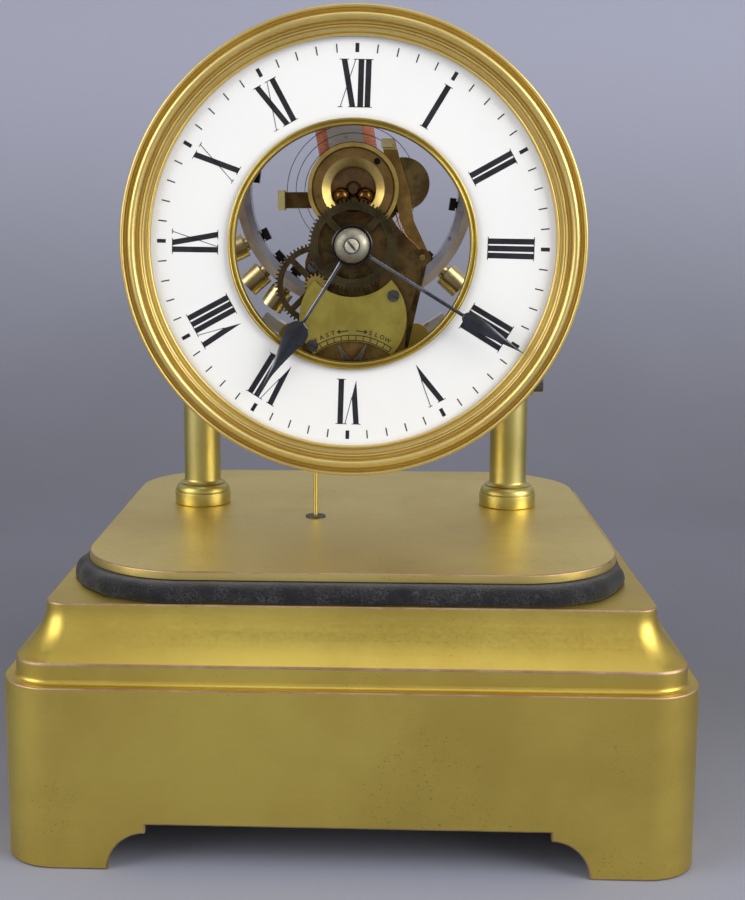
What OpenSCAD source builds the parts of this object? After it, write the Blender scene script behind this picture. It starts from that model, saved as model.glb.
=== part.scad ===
// Electric mantel clock with an open dial, a compensated electromagnet
// balance on ball bearings and a stepped brass base that holds the cell.
// X runs to the right, the dial faces -Y, Z is up, zero is the middle of the
// base where it rests.

/* [Base] */
// Width of the base box
box_w = 228.6; // [200:1:260]
// Depth of the base box
box_d = 228.6; // [200:1:260]
// Height of the base box with its feet
box_h = 61.5; // [50:0.5:75]
// Corner radius of the base box
box_r = 18; // [8:0.5:24]
// Wall of the base box and of the cove
box_wall = 3; // [2:0.5:5]
// Height of the arch between the feet
arch_h = 15.6; // [8:0.1:20]
// Half length of the flat top of the arch
arch_half = 65.6; // [45:0.1:70]
// Step at each end of the arch
arch_step = 3; // [1:0.5:5]
// Distance from the box's side to the moulding
ledge_in = 4.1; // [3:0.1:6]
// Distance from the box's side to the screws in its flange
screw_in = 20.1; // [19:0.1:22]
// Width of the flange round the open top of the box
flange_w = 24; // [22:0.5:30]
// Height of the fascia below the cove
fascia_h = 6.6; // [4:0.2:9]
// Height of the cove
cove_h = 16.2; // [10:0.2:22]
// Distance that the cove goes in on its way up
cove_in = 9.6; // [6:0.1:12]
// Height of the square deck edge
deck_edge = 1.5; // [1:0.1:3]

/* [Platform] */
// Distance from the deck's edge to the platform
plat_in = 7.6; // [6:0.1:12]
// Corner radius of the platform
plat_r = 38; // [20:1:60]
// Thickness of the platform
plat_t = 3.3; // [2:0.1:5]
// Distance from the platform's edge to the wooden riser
riser_in = 9; // [7:0.5:14]
// Height of the riser and of the velvet seat
seat_h = 5.9; // [4:0.1:9]
// Overhang of the velvet seat beyond the platform
seat_over = 4.4; // [2:0.2:5]

/* [Pillars] */
// Distance from the middle to each pillar
pillar_x = 62.2; // [56:0.2:68]
// Pillars behind the middle of the base
pillar_y = 20; // [16:0.5:24]
// Shaft diameter
pillar_dia = 14.7; // [12:0.1:18]
// Foot diameter
foot_dia = 22.6; // [20:0.1:28]
// Length of a pillar
pillar_len = 46; // [40:0.5:60]
// Bolt diameter in the pillars
bolt_dia = 6; // [4:0.5:7]

/* [Cell] */
// Diameter of the dry cell
cell_dia = 64; // [50:0.5:66]
// Length of the dry cell
cell_len = 150; // [120:1:165]
// Room between the cell and the deck
cell_room = 3.8; // [3:0.1:6]
// Thickness of the cell straps
strap_t = 1.2; // [0.8:0.1:2]
// Width of each strap
strap_w = 14; // [8:1:20]

/* [Dial] */
// Visible diameter of the enamel
enamel_dia = 138.8; // [136:0.2:142]
// Width of the bezel's face
bezel_w = 10.4; // [9.5:0.1:12]
// Outer diameter of the sight ring
sight_dia = 85.4; // [80:0.2:90]
// Clear opening of the sight ring
open_dia = 80.6; // [74:0.2:82]
// Thickness of the enamel plate
enamel_t = 1.2; // [0.8:0.1:2]
// Thickness of the plate behind the enamel
backing_t = 1.5; // [1:0.1:2.5]
// Height of the hand arbor above the top of the pillars
arbor_up = 60.45; // [58:0.05:64]

/* [Movement] */
// Front face of the front plate
plate_y = -41; // [-43:0.1:-40]
// Distance from the hand arbor up to the balance staff
staff_up = 19.3; // [18.8:0.1:22]
// Thickness of the front plate
plate_t = 2; // [1.5:0.1:2.2]
// Module of the motion work
motion_m = 0.48; // [0.44:0.01:0.5]
// Module of the hidden train
train_m = 0.4; // [0.36:0.01:0.42]
// Flank clearance of the teeth, as a share of the pitch
backlash = 0.08; // [0.05:0.01:0.12]

/* [Bearings] */
// Ball diameter
ball_dia = 6.35; // [5:0.05:7]
// Diameter of the staff pivots
pivot_dia = 3.34; // [2.5:0.02:4]
// Half distance between the two balls
ball_x = 4.2; // [3.8:0.05:4.5]
// Outer diameter of the cup flange
cup_dia = 32; // [28:0.2:33]
// Running clearance of the balls
ball_gap = 0.03; // [0.01:0.01:0.08]

/* [Balance] */
// Middle of the balance along the staff
balance_y = -8; // [-9:0.1:-7]
// Inner radius of the rim
rim_in = 38.9; // [36:0.1:40]
// Thickness of the steel inner lamina
steel_t = 2.7; // [1.5:0.1:3]
// Thickness of the brass outer lamina
brass_t = 2.9; // [1.5:0.1:3.2]
// Width of the rim along the staff
rim_h = 9; // [6:0.2:10]
// Angle of the electromagnet at rest
coil_angle = 100; // [90:1:110]
// Width of the windings
coil_w = 22; // [18:0.5:24]
// Depth of the windings
coil_d = 11; // [8:0.5:12]
// Width of the iron core
core_w = 13; // [10:0.5:14]
// Depth of the iron core
core_d = 4; // [3:0.5:6]
// Reach of the poles from the staff
pole_r = 55.8; // [52:0.1:57]
// Gap between the poles and the armature
air_gap = 0.7; // [0.5:0.05:1.5]
// Diameter of a timing weight
weight_dia = 9.2; // [7:0.1:9.6]
// Length of a timing weight
weight_len = 8; // [6:0.1:8.4]

/* [Hairspring] */
// Middle of the hairspring along the staff
hair_y = -22; // [-23:0.1:-20]
// Radius of the outer end
hair_out = 24.6; // [22:0.1:25]
// Radius of the inner end
hair_in = 5.2; // [5:0.1:6]
// Number of turns
hair_turns = 6; // [4:1:8]
// Radius of the spring wire
hair_wire = 0.35; // [0.25:0.05:0.5]

/* [Hands] */
// Reach of the minute hand
minute_len = 69; // [60:0.5:70]
// Reach of the hour hand
hour_len = 60.7; // [50:0.5:64]
// Clock angle of the minute hand
minute_angle = 121.8; // [0:0.1:360]
// Clock angle of the hour hand
hour_angle = 212.4; // [0:0.1:360]
// Thickness of the hands
hand_t = 0.7; // [0.5:0.05:1]

/* [Fits] */
// Radial running clearance of arbors
run_gap = 0.05; // [0.02:0.01:0.1]
// Radial clearance of screws and studs in their holes
screw_gap = 0.2; // [0.1:0.05:0.4]

/* [Hidden] */
$fn = 64;
eps = 0.01;

// Widths and heights of the base
ledge_w = box_w - 2 * ledge_in;
deck_w = ledge_w - 2 * cove_in;
plat_w = deck_w - 2 * plat_in;
riser_w = plat_w - 2 * riser_in;
cove_z0 = box_h + fascia_h;
deck_z = cove_z0 + cove_h + deck_edge;
deck_under = deck_z - box_wall;
plat_under = deck_z + seat_h;
plat_z = plat_under + plat_t;
pillar_top = plat_z + pillar_len;
bridge_t = 6;
bridge_top = pillar_top + bridge_t;
cell_z = deck_under - cell_room - cell_dia / 2;
deck_r = 7.3;
ledge_r = 12.5;
riser_r = 30;

// Axes of the movement
arbor_z = pillar_top + arbor_up;
staff_z = arbor_z + staff_up;
dist_motion = (64 + 16) / 2 * motion_m;
motion_dir = 228;
stud_x = dist_motion * cos(motion_dir);
stud_z = arbor_z + dist_motion * sin(motion_dir);
transfer_dir = -68.8;
dist_centre = (60 + 12) / 2 * train_m;
dist_ratchet = (48 + 12) / 2 * train_m;
transfer_x = dist_centre * cos(transfer_dir);
transfer_z = arbor_z + dist_centre * sin(transfer_dir);
ratchet_dir = -105.4;
ratchet_x = transfer_x + dist_ratchet * cos(ratchet_dir);
ratchet_z = transfer_z + dist_ratchet * sin(ratchet_dir);
ratchet_r = 9.5;
lever_x = 24.6;
lever_z = arbor_z - 4.7;
disc_x = 17.7;
disc_z = staff_z + 1.9;
disc_r = 9.4;

// Places along Y, front to back
plate_back = plate_y + plate_t;
lever_y = plate_y + 5.7;
lever_t = 1.2;
contact_y = lever_y + 1.4;
contact_t = 1;
disc_y = contact_y + 1.1;
disc_t = 2;
train_y = disc_y + disc_t + 0.8;
train_t = 1.5;
minute_y = plate_y - 4.4;
minute_t = 1.2;
hour_y = minute_y - 3.2;
hour_t = 1.4;
name_y = hour_y - 2.4;
name_t = 1.1;
scale_y = name_y + name_t + 0.2;
scale_t = 1.2;
pointer_y = name_y - 1.2;
pointer_t = 0.6;
enamel_y = -58.4;
backing_y = enamel_y + enamel_t;
hour_hand_y = enamel_y - 5.2;
minute_hand_y = enamel_y - 8.1;
back_y = balance_y + 12;
back_t = 3;
tongue_half = 30;

// Balance bearings
ball_r = ball_dia / 2;
ball_orbit = (pivot_dia + ball_dia) / 2 + ball_gap;
ball_drop = sqrt(ball_orbit * ball_orbit - ball_x * ball_x);
cup_bore = ball_orbit + ball_r + ball_gap;
cup_flange = 2.4;
cup_body_r = 11.5;
cup_len = 5.4;
cup_wall = 1;
ball_in = 1.1;

// Balance
rim_mid = rim_in + steel_t;
rim_out = rim_mid + brass_t;
pole_half = asin(core_w / 2 / rim_in) + 0.4;
free_gap = 3;
hub_r = 5;
armature_in = pole_r + air_gap;
armature_t = 4;
weight_angles = [38, 72, 106, 121.5, 134];
weight_base = rim_out + 1.6;
staff_r = 2.4;

// Regulator
pointer_x = 0;
pointer_z = arbor_z - 54.9;
right_screw = [14.3, -17.7];
left_screw = [-14, -35.2];

// Train posts between the two plates
post_places = [[-14, -8], [-8, -38], [16, -37]];
post_r = 2.4;

// Dial
enamel_r = enamel_dia / 2;
bezel_r = enamel_r + bezel_w;
sight_r = sight_dia / 2;
open_r = open_dia / 2;
dial_foot_r = 3;
foot_z = bridge_t / 2 + 0.45 - arbor_up;
foot_orbit = bezel_r - 4.4 - dial_foot_r;
foot_x = sqrt(foot_orbit * foot_orbit - foot_z * foot_z);
foot_places = [[-foot_x, foot_z], [foot_x, foot_z]];

// Outline of a rectangle with round corners, as points
function round_box(w, d, r, steps = 9) = [
  for (c = [[1, 1, 0], [-1, 1, 90], [-1, -1, 180], [1, -1, 270]])
    for (i = [0 : steps])
      [c[0] * (w / 2 - r) + r * cos(c[2] + 90 * i / steps),
       c[1] * (d / 2 - r) + r * sin(c[2] + 90 * i / steps)]
];

// Solid through outlines of equal length at rising heights
module loft(outlines, heights) {
  n = len(outlines[0]);
  last = len(outlines) - 1;
  points = [for (k = [0 : last]) for (p = outlines[k]) [p[0], p[1], heights[k]]];
  sides = [for (k = [0 : last - 1]) for (i = [0 : n - 1])
    for (f = [[k * n + i, k * n + n + i, k * n + (i + 1) % n],
              [k * n + (i + 1) % n, k * n + n + i, k * n + n + (i + 1) % n]]) f];
  bottom = [for (i = [0 : n - 1]) i];
  top = [for (i = [n - 1 : -1 : 0]) last * n + i];
  polyhedron(points, concat([bottom], sides, [top]), convexity = 4);
}

// Wire or spring that follows points which lie in a plane of constant Y
module tube(path, r, sides = 6) {
  n = len(path);
  points = [for (i = [0 : n - 1])
    let (a = path[max(i - 1, 0)], b = path[min(i + 1, n - 1)],
         t = [b[0] - a[0], b[2] - a[2]] / norm([b[0] - a[0], b[2] - a[2]]))
    for (k = [0 : sides - 1])
      path[i] + r * [-t[1] * cos(360 * k / sides), sin(360 * k / sides), t[0] * cos(360 * k / sides)]];
  walls = [for (i = [0 : n - 2]) for (k = [0 : sides - 1])
    let (a = i * sides + k, b = i * sides + (k + 1) % sides)
    for (f = [[a, b, a + sides], [b, b + sides, a + sides]]) f];
  ends = [for (k = [1 : sides - 2])
    for (f = [[0, k + 1, k], [(n - 1) * sides, (n - 1) * sides + k, (n - 1) * sides + k + 1]]) f];
  polyhedron(points, concat(walls, ends), convexity = 6);
}

// Plate drawn in X and Z that fills Y from y0 to y1
module y_plate(y0, y1) {
  translate([0, y1, 0]) rotate([90, 0, 0]) linear_extrude(y1 - y0) children();
}

// Rod along Y
module y_rod(x, z, y0, y1, r) {
  translate([x, y0, z]) rotate([-90, 0, 0]) cylinder(h = y1 - y0, r = r);
}

// Turned piece along Y: each point is radius and distance behind y0
module y_turned(x, z, y0, points) {
  translate([x, y0, z]) rotate([-90, 0, 0]) rotate_extrude() polygon(points);
}

// Slotted cheese head screw that points along +Y
module y_screw(x, z, y0, head_r, head_t, shank_r, shank_len) {
  difference() {
    union() {
      y_rod(x, z, y0, y0 + head_t, head_r);
      y_rod(x, z, y0 + head_t, y0 + head_t + shank_len, shank_r);
    }
    translate([x, y0, z]) rotate([0, 45, 0])
      cube([head_r * 3, head_t * 0.9, head_r * 0.28], center = true);
  }
}

// Pointed clock teeth round a circle
function tooth_outline(teeth, m, thin) = [
  for (i = [0 : teeth - 1])
    let (pitch = 360 / teeth, rp = teeth * m / 2, half = pitch * (0.25 - thin / 2))
    for (p = [[rp - 1.15 * m, -half * 1.15], [rp, -half], [rp + 0.62 * m, -half * 0.62],
              [rp + 0.95 * m, 0], [rp + 0.62 * m, half * 0.62], [rp, half],
              [rp - 1.15 * m, half * 1.15]])
      p[0] * [cos(i * pitch + p[1]), sin(i * pitch + p[1])]
];

// Flat wheel with teeth, a rim, spokes and a hub, drawn in X and Z
module wheel_2d(teeth, m, spokes, rim_w, hub, bore, turn = 0) {
  root = teeth * m / 2 - 1.15 * m;
  difference() {
    rotate(turn) polygon(tooth_outline(teeth, m, backlash));
    if (spokes > 0)
      for (i = [0 : spokes - 1])
        rotate(i * 360 / spokes + 45) spoke_window(root - rim_w, hub, 360 / spokes);
    circle(r = bore);
  }
}

// Opening between two spokes
module spoke_window(outer, inner, step) {
  web = 1.1;
  a0 = asin(web / outer);
  a1 = asin(web / inner);
  polygon(concat(
    [for (i = [0 : 8]) let (a = a0 + (step - 2 * a0) * i / 8) outer * [cos(a), sin(a)]],
    [for (i = [4 : -1 : 0]) let (a = a1 + (step - 2 * a1) * i / 4) inner * [cos(a), sin(a)]]));
}

// Opening under the base, drawn in X and Z
module arch_2d() {
  drop = arch_h - arch_step;
  polygon(concat(
    [[arch_half + drop, -1]],
    [for (i = [0 : 8]) [arch_half + drop * cos(90 * i / 8), drop * sin(90 * i / 8)]],
    [[arch_half, arch_h], [-arch_half, arch_h]],
    [for (i = [8 : -1 : 0]) [-arch_half - drop * cos(90 * i / 8), drop * sin(90 * i / 8)]],
    [[-arch_half - drop, -1]]));
}

corner_places = [for (sx = [-1, 1]) for (sy = [-1, 1])
  [sx * (box_w / 2 - screw_in), sy * (box_d / 2 - screw_in)]];

module plinth_box() {
  color("#a8924a") difference() {
    linear_extrude(box_h) polygon(round_box(box_w, box_d, box_r));
    translate([0, 0, -1]) linear_extrude(box_h - box_wall + 1)
      polygon(round_box(box_w - 2 * box_wall, box_d - 2 * box_wall, box_r - box_wall));
    linear_extrude(box_h + 1)
      polygon(round_box(box_w - 2 * flange_w, box_d - 2 * flange_w, box_r - box_wall));
    translate([0, box_d / 2 + 1, 0]) rotate([90, 0, 0]) linear_extrude(box_d + 2) arch_2d();
    rotate([0, 0, 90]) translate([0, box_w / 2 + 1, 0]) rotate([90, 0, 0])
      linear_extrude(box_w + 2) scale([(box_d - 2 * (box_w / 2 - arch_half)) / arch_half / 2, 1]) arch_2d();
    for (p = corner_places)
      translate([p[0], p[1], box_h - box_wall - 1]) cylinder(h = box_wall + 2, r = 2 + screw_gap);
  }
}

// Width of the cove on its way up, flared at the foot and steep at the top
cove_steps = 8;
function cove_width(i) = ledge_w - (ledge_w - deck_w) * (1 - pow(1 - i / cove_steps, 1.9));
cove_depth_less = box_w - box_d;

module cove_solid(inset, z_low, z_top) {
  rise = z_top - deck_edge - cove_z0;
  widths = concat([ledge_w, ledge_w], [for (i = [1 : cove_steps]) cove_width(i)], [deck_w]);
  heights = concat([z_low, cove_z0], [for (i = [1 : cove_steps]) cove_z0 + rise * i / cove_steps], [z_top]);
  loft([for (i = [0 : len(widths) - 1])
    let (r = ledge_r + (deck_r - ledge_r) * max(0, i - 1) / (cove_steps + 1))
    round_box(widths[i] - 2 * inset, widths[i] - cove_depth_less - 2 * inset, r - inset, 6)], heights);
}

module plinth_cove() {
  boss = deck_under - box_h + 1;
  tap = 8;
  color("#b39a4e") difference() {
    union() {
      difference() {
        cove_solid(0, box_h, deck_z);
        cove_solid(box_wall, box_h - 1, deck_under);
      }
      for (p = corner_places)
        translate([p[0], p[1], box_h]) cylinder(h = boss, r = 5);
    }
    for (p = corner_places)
      translate([p[0], p[1], box_h - 1]) cylinder(h = tap + 1, r = 2);
    for (sx = [-1, 1])
      translate([sx * pillar_x, pillar_y, deck_under - 1]) cylinder(h = box_wall + 2, r = bolt_dia / 2 + screw_gap);
    translate([feed_x, feed_y, deck_under - 1]) cylinder(h = box_wall + 2, r = bush_r + screw_gap);
    for (p = strap_screw_places)
      translate([p[0], p[1], deck_under - 1]) cylinder(h = box_wall - 0.5, r = strap_screw_r);
  }
}

// Screws that join the box to the cove and hold the straps to the deck
module plinth_screws() {
  color("#6d6656") for (p = corner_places) {
    translate([p[0], p[1], box_h - box_wall - 2]) cylinder(h = 2, r = 4);
    translate([p[0], p[1], box_h - box_wall - eps]) cylinder(h = box_wall + 6, r = 1.9);
  }
  color("#6d6656") for (p = strap_screw_places) {
    translate([p[0], p[1], deck_under - strap_t - 2]) cylinder(h = 2, r = 3);
    translate([p[0], p[1], deck_under - strap_t - eps]) cylinder(h = strap_t + 1.4, r = strap_screw_r - 0.05);
  }
}

module seat_riser() {
  color("#6b4a2b") difference() {
    translate([0, 0, deck_z]) linear_extrude(seat_h) polygon(round_box(riser_w, riser_w - cove_depth_less, riser_r));
    for (sx = [-1, 1])
      translate([sx * pillar_x, pillar_y, deck_z - 1]) cylinder(h = seat_h + 2, r = bolt_dia / 2 + screw_gap);
    translate([feed_x, feed_y, deck_z - 1]) cylinder(h = seat_h + 2, r = bush_r + screw_gap);
  }
}

// The velvet bulges between the deck and the platform
module velvet_seat() {
  outer = plat_w + 2 * seat_over;
  bulge = [-1.6, -0.5, 0, 0, -0.5, -1.7];
  levels = [0, 0.15, 0.4, 0.65, 0.88, 1];
  color("#2b2a2e") difference() {
    loft([for (b = bulge) round_box(outer + 2 * b, outer - cove_depth_less + 2 * b, plat_r + seat_over + b, 8)],
         [for (l = levels) deck_z + seat_h * l]);
    translate([0, 0, deck_z - 1]) linear_extrude(seat_h + 2)
      polygon(round_box(riser_w, riser_w - cove_depth_less, riser_r));
  }
}

module platform() {
  color("#b59d52") difference() {
    translate([0, 0, plat_under]) linear_extrude(plat_t) polygon(round_box(plat_w, plat_w - cove_depth_less, plat_r, 12));
    for (sx = [-1, 1])
      translate([sx * pillar_x, pillar_y, plat_under - 1]) cylinder(h = plat_t + 2, r = bolt_dia / 2 + screw_gap);
    translate([feed_x, feed_y, plat_under - 1]) cylinder(h = plat_t + 2, r = bush_r + screw_gap);
  }
}

pillar_tap = 16;
module pillar(side) {
  r = pillar_dia / 2;
  f = foot_dia / 2;
  neck = 1.5;
  translate([side * pillar_x, pillar_y, plat_z]) difference() {
    rotate_extrude() polygon(concat(
      [[0, 0], [f - 0.5, 0], [f, 0.5], [f, 5], [f - 0.5, 5.3], [f - 0.4, 6.2], [f - 0.8, 7.4],
       [f - 1.6, 8.3], [r + neck + 0.3, 8.7]],
      [for (i = [0 : 6]) [r + neck * (1 - sin(15 * i)), 8.8 + neck * (1 - cos(15 * i))]],
      [[r, pillar_len - 0.6], [r - 0.6, pillar_len], [0, pillar_len]]));
    translate([0, 0, -1]) cylinder(h = pillar_tap + 1, r = bolt_dia / 2);
    translate([0, 0, pillar_len - 12]) cylinder(h = 13, r = bridge_screw_r);
  }
}
bridge_screw_r = 2.5;

module left_pillar() {
  color("#b8a04f") pillar(-1);
}

module right_pillar() {
  color("#b8a04f") pillar(1);
}

module pillar_bolts() {
  head_t = 4;
  color("#6d6656") for (sx = [-1, 1]) translate([sx * pillar_x, pillar_y, 0]) {
    translate([0, 0, deck_under - head_t]) cylinder(h = head_t, r = bolt_dia * 0.92, $fn = 6);
    translate([0, 0, deck_under - eps]) cylinder(h = plat_z - deck_under + 14, r = bolt_dia / 2 - eps);
  }
}

feed_x = -14.7;
feed_y = -6;
feed_r = 0.85;
bush_r = 3.3;
bush_lip = 0.5;

module feed_bush() {
  color("#1d1a18") difference() {
    union() {
      translate([feed_x, feed_y, deck_under]) cylinder(h = plat_z - deck_under, r = bush_r);
      translate([feed_x, feed_y, plat_z]) cylinder(h = bush_lip, r = bush_r + 0.6);
    }
    translate([feed_x, feed_y, deck_under - 1]) cylinder(h = plat_z - deck_under + 3, r = feed_r + run_gap);
  }
}

// The rod goes from a nut below the deck to the insulated clip under the bridge
module feed_rod() {
  clip = 2.6;
  color("#c8ad57") union() {
    translate([feed_x, feed_y, deck_under - 3]) cylinder(h = pillar_top - deck_under + 1, r = feed_r);
    translate([feed_x, feed_y, deck_under - 2.5]) cylinder(h = 2, r = 2.6, $fn = 6);
    translate([feed_x, feed_y, pillar_top - clip]) cylinder(h = clip, r = 3.2);
  }
}

strap_x = 45;
strap_r = cell_dia / 2 + 0.3;
tab = 13;
strap_screw_r = 1.5;
strap_screw_places = [for (sx = [-1, 1]) for (sy = [-1, 1])
  [sx * strap_x, sy * (strap_r + strap_t + tab / 2)]];

module dry_cell() {
  color("#7a2f22") translate([-cell_len / 2, 0, cell_z]) rotate([0, 90, 0]) rotate_extrude()
    polygon([[0, 0], [cell_dia / 2 - 1, 0], [cell_dia / 2, 1], [cell_dia / 2, cell_len - 1],
             [cell_dia / 2 - 1, cell_len], [0, cell_len]]);
}

module cell_terminals() {
  color("#b9a25a") for (y = [0, 24]) {
    translate([cell_len / 2, y, cell_z]) rotate([0, 90, 0]) cylinder(h = 4, r = y == 0 ? 6 : 3);
    translate([cell_len / 2 + 4 - eps, y, cell_z]) rotate([0, 90, 0]) cylinder(h = 8, r = 2);
    translate([cell_len / 2 + 6, y, cell_z]) rotate([0, 90, 0]) cylinder(h = 4, r = 4.5);
  }
}

module cell_straps() {
  color("#8d7d45") difference() {
    straps();
    for (p = strap_screw_places)
      translate([p[0], p[1], deck_under - strap_t - 1]) cylinder(h = strap_t + 2, r = strap_screw_r + screw_gap);
  }
}

module straps() {
  for (sx = [-1, 1])
    translate([sx * strap_x - strap_w / 2, 0, 0]) rotate([90, 0, 90]) linear_extrude(strap_w) difference() {
      union() {
        translate([0, cell_z]) circle(r = strap_r + strap_t);
        translate([-strap_r - strap_t, cell_z]) square([2 * (strap_r + strap_t), deck_under - cell_z]);
        translate([-strap_r - strap_t - tab, deck_under - strap_t])
          square([2 * (strap_r + strap_t + tab), strap_t]);
      }
      translate([0, cell_z]) circle(r = strap_r);
      translate([-strap_r, cell_z]) square([2 * strap_r, deck_under - cell_z + 1]);
    }
}

// Cast bridge on the pillars: a crossbar, a tongue to the front and a yoke
yoke_half = foot_x + dial_foot_r + 5;
yoke_d = 5;
bar_half = pillar_x + 9;
rear_block_y = back_y + back_t;
module frame_bridge() {
  bar_d = 11;
  color("#a08b45") difference() {
    union() {
      translate([0, 0, pillar_top]) linear_extrude(bridge_t) union() {
        polygon(round_box(2 * bar_half, 2 * bar_d, 6, 4) + [for (i = [1 : 20]) [0, pillar_y]]);
        translate([-tongue_half, plate_back]) square([2 * tongue_half, pillar_y - plate_back]);
        translate([-yoke_half, plate_back]) square([2 * yoke_half, yoke_d]);
      }
      translate([-yoke_half, plate_back, pillar_top]) cube([2 * yoke_half, yoke_d, bridge_t + 3]);
      translate([-16, rear_block_y, pillar_top]) cube([32, 8, bridge_t + 14]);
    }
    for (sx = [-1, 1])
      translate([sx * pillar_x, pillar_y, pillar_top - 1]) cylinder(h = bridge_t + 2, r = bridge_screw_r + screw_gap);
    for (p = foot_places) {
      y_rod(p[0], arbor_z + p[1], plate_back - 1, plate_back + yoke_d + 1, foot_tip_r + screw_gap);
      y_rod(p[0], arbor_z + p[1], plate_back + yoke_d, plate_back + yoke_d + 3.4, 3.4 + screw_gap);
    }
    for (sx = [-1, 1])
      y_rod(sx * 10, pillar_top + bridge_t / 2, plate_back - 1, plate_back + 12, plate_screw_r);
    for (sx = [-1, 1])
      y_rod(sx * 10, bridge_top + 7, rear_block_y - 1, rear_block_y + 9, plate_screw_r);
    for (sx = [-1, 1])
      translate([sx * post_x, post_y, pillar_top - 1]) cylinder(h = bridge_t + 2, r = post_pin_r);
    translate([bar_half - 4, pillar_y, pillar_top + bridge_t / 2]) rotate([0, 90, 0]) cylinder(h = 5, r = 1.5);
  }
}

module bridge_screws() {
  color("#3c4a63") for (sx = [-1, 1]) translate([sx * pillar_x, pillar_y, 0]) difference() {
    union() {
      translate([0, 0, bridge_top]) cylinder(h = 3, r = 5);
      translate([0, 0, pillar_top - 9]) cylinder(h = 9 + bridge_t + eps, r = bridge_screw_r - eps);
    }
    translate([0, 0, bridge_top + 3]) cube([12, 1.2, 2.4], center = true);
  }
}

// Knurled screw at the right end of the bridge
module side_screw() {
  color("#4a3f2a") translate([bar_half, pillar_y, pillar_top + bridge_t / 2]) rotate([0, 90, 0]) union() {
    cylinder(h = 4.2, r = 2.6);
    translate([0, 0, -3.9]) cylinder(h = 3.9 + eps, r = 1.5 - eps);
  }
}

plate_screw_r = 1.5;

// Front plate with the fixed stud that the minute wheel turns on
module front_plate() {
  foot = pillar_top - arbor_z;
  color("#8b7438") translate([0, 0, arbor_z]) difference() {
    union() {
      y_plate(plate_y, plate_back)
        polygon([[-17, foot], [-17, -6], [-12, 8], [-10, staff_up - 4], [10, staff_up - 4],
                 [15, 7], [22.6, -2.4], [24, -10], [19.5, -27], [17, foot]]);
      y_rod(0, staff_up, plate_y, plate_back, cup_dia / 2 - 0.7);
      y_rod(lever_x, lever_z - arbor_z, plate_y, plate_back, 3);
      y_rod(stud_x, stud_z - arbor_z, hour_y - 0.8, plate_y + eps, stud_r);
      y_rod(stud_x, stud_z - arbor_z, plate_y - 1, plate_y + eps, 2.2);
    }
    plate_bore(0, staff_up, cup_body_r + run_gap);
    plate_bore(0, 0, arbor_r + run_gap);
    plate_bore(transfer_x, transfer_z - arbor_z, pin_r + run_gap);
    plate_bore(ratchet_x, ratchet_z - arbor_z, pin_r + run_gap);
    plate_bore(lever_x, lever_z - arbor_z, pin_r + run_gap);
    for (p = post_places)
      plate_bore(p[0], p[1], post_tip_r + run_gap);
    for (p = [left_screw, right_screw])
      plate_bore(p[0], p[1], 1.2);
    for (sx = [-1, 1])
      plate_bore(sx * 10, foot + bridge_t / 2, plate_screw_r + screw_gap);
  }
}

// Bore through the front plate
module plate_bore(x, z, r) {
  y_rod(x, z, plate_y - 1, plate_back + 1, r);
}

module back_plate() {
  foot = bridge_top - arbor_z;
  color("#8b7438") translate([0, 0, arbor_z]) difference() {
    union() {
      y_plate(back_y, back_y + back_t)
        polygon([[-16, foot], [-13, -10], [-10, staff_up], [10, staff_up], [13, -10], [16, foot]]);
      y_rod(0, staff_up, back_y, back_y + back_t, cup_dia / 2 - 0.7);
    }
    y_rod(0, staff_up, back_y - 1, back_y + back_t + 1, cup_body_r + run_gap);
    for (sx = [-1, 1])
      y_rod(sx * 10, foot + 7, back_y - 1, back_y + back_t + 1, plate_screw_r + screw_gap);
  }
}

module plate_screws() {
  color("#3c4a63") {
    for (sx = [-1, 1])
      y_screw(sx * 10, pillar_top + bridge_t / 2, plate_y - 1.8, 3, 1.8, plate_screw_r - eps, 11);
    for (sx = [-1, 1])
      y_screw(sx * 10, bridge_top + 7, back_y - 1.8, 3, 1.8, plate_screw_r - eps, 9);
    for (p = post_places)
      y_screw(p[0], arbor_z + p[1], plate_y - 1.4, 2.2, 1.4, 0.9, 4);
  }
}

post_tip_r = 1.6;
module train_posts() {
  color("#9c8747") for (p = post_places) difference() {
    union() {
      y_rod(p[0], arbor_z + p[1], plate_back, train_y, post_r);
      y_rod(p[0], arbor_z + p[1], plate_y, plate_back + eps, post_tip_r);
      y_rod(p[0], arbor_z + p[1], train_y - eps, train_y + train_t + 0.6, post_tip_r);
    }
    y_rod(p[0], arbor_z + p[1], plate_y - 1, plate_back + 3, 0.95);
  }
}

// Rear plate of the train, with an arm to the contact disc
module train_bridge() {
  color("#8b7438") translate([0, 0, arbor_z]) difference() {
    union() {
      y_plate(train_y, train_y + train_t)
        polygon([[-15.5, -40], [-17, -6], [-9, 12], [-9, staff_up + 6], [9, staff_up + 6],
                 [disc_x + 4, staff_up + 6], [disc_x + 4.5, staff_up - 2], [13, 8], [26.5, -4], [26.5, -8],
                 [19.5, -40]]);
      y_rod(0, staff_up, train_y, train_y + train_t, 11);
    }
    bridge_bore(0, staff_up, staff_r + 3.2);
    bridge_bore(0, 0, pin_r + run_gap);
    bridge_bore(transfer_x, transfer_z - arbor_z, pin_r + run_gap);
    bridge_bore(ratchet_x, ratchet_z - arbor_z, pin_r + run_gap);
    bridge_bore(lever_x, lever_z - arbor_z, pin_r + run_gap);
    for (p = post_places)
      bridge_bore(p[0], p[1], post_tip_r + run_gap);
    bridge_bore(disc_x, disc_z - arbor_z, 2);
  }
}

// Bore through the train bridge
module bridge_bore(x, z, r) {
  y_rod(x, z, train_y - 1, train_y + train_t + 1, r);
}

arbor_r = 1.5;
pin_r = 1;
stud_r = 1;

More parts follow.
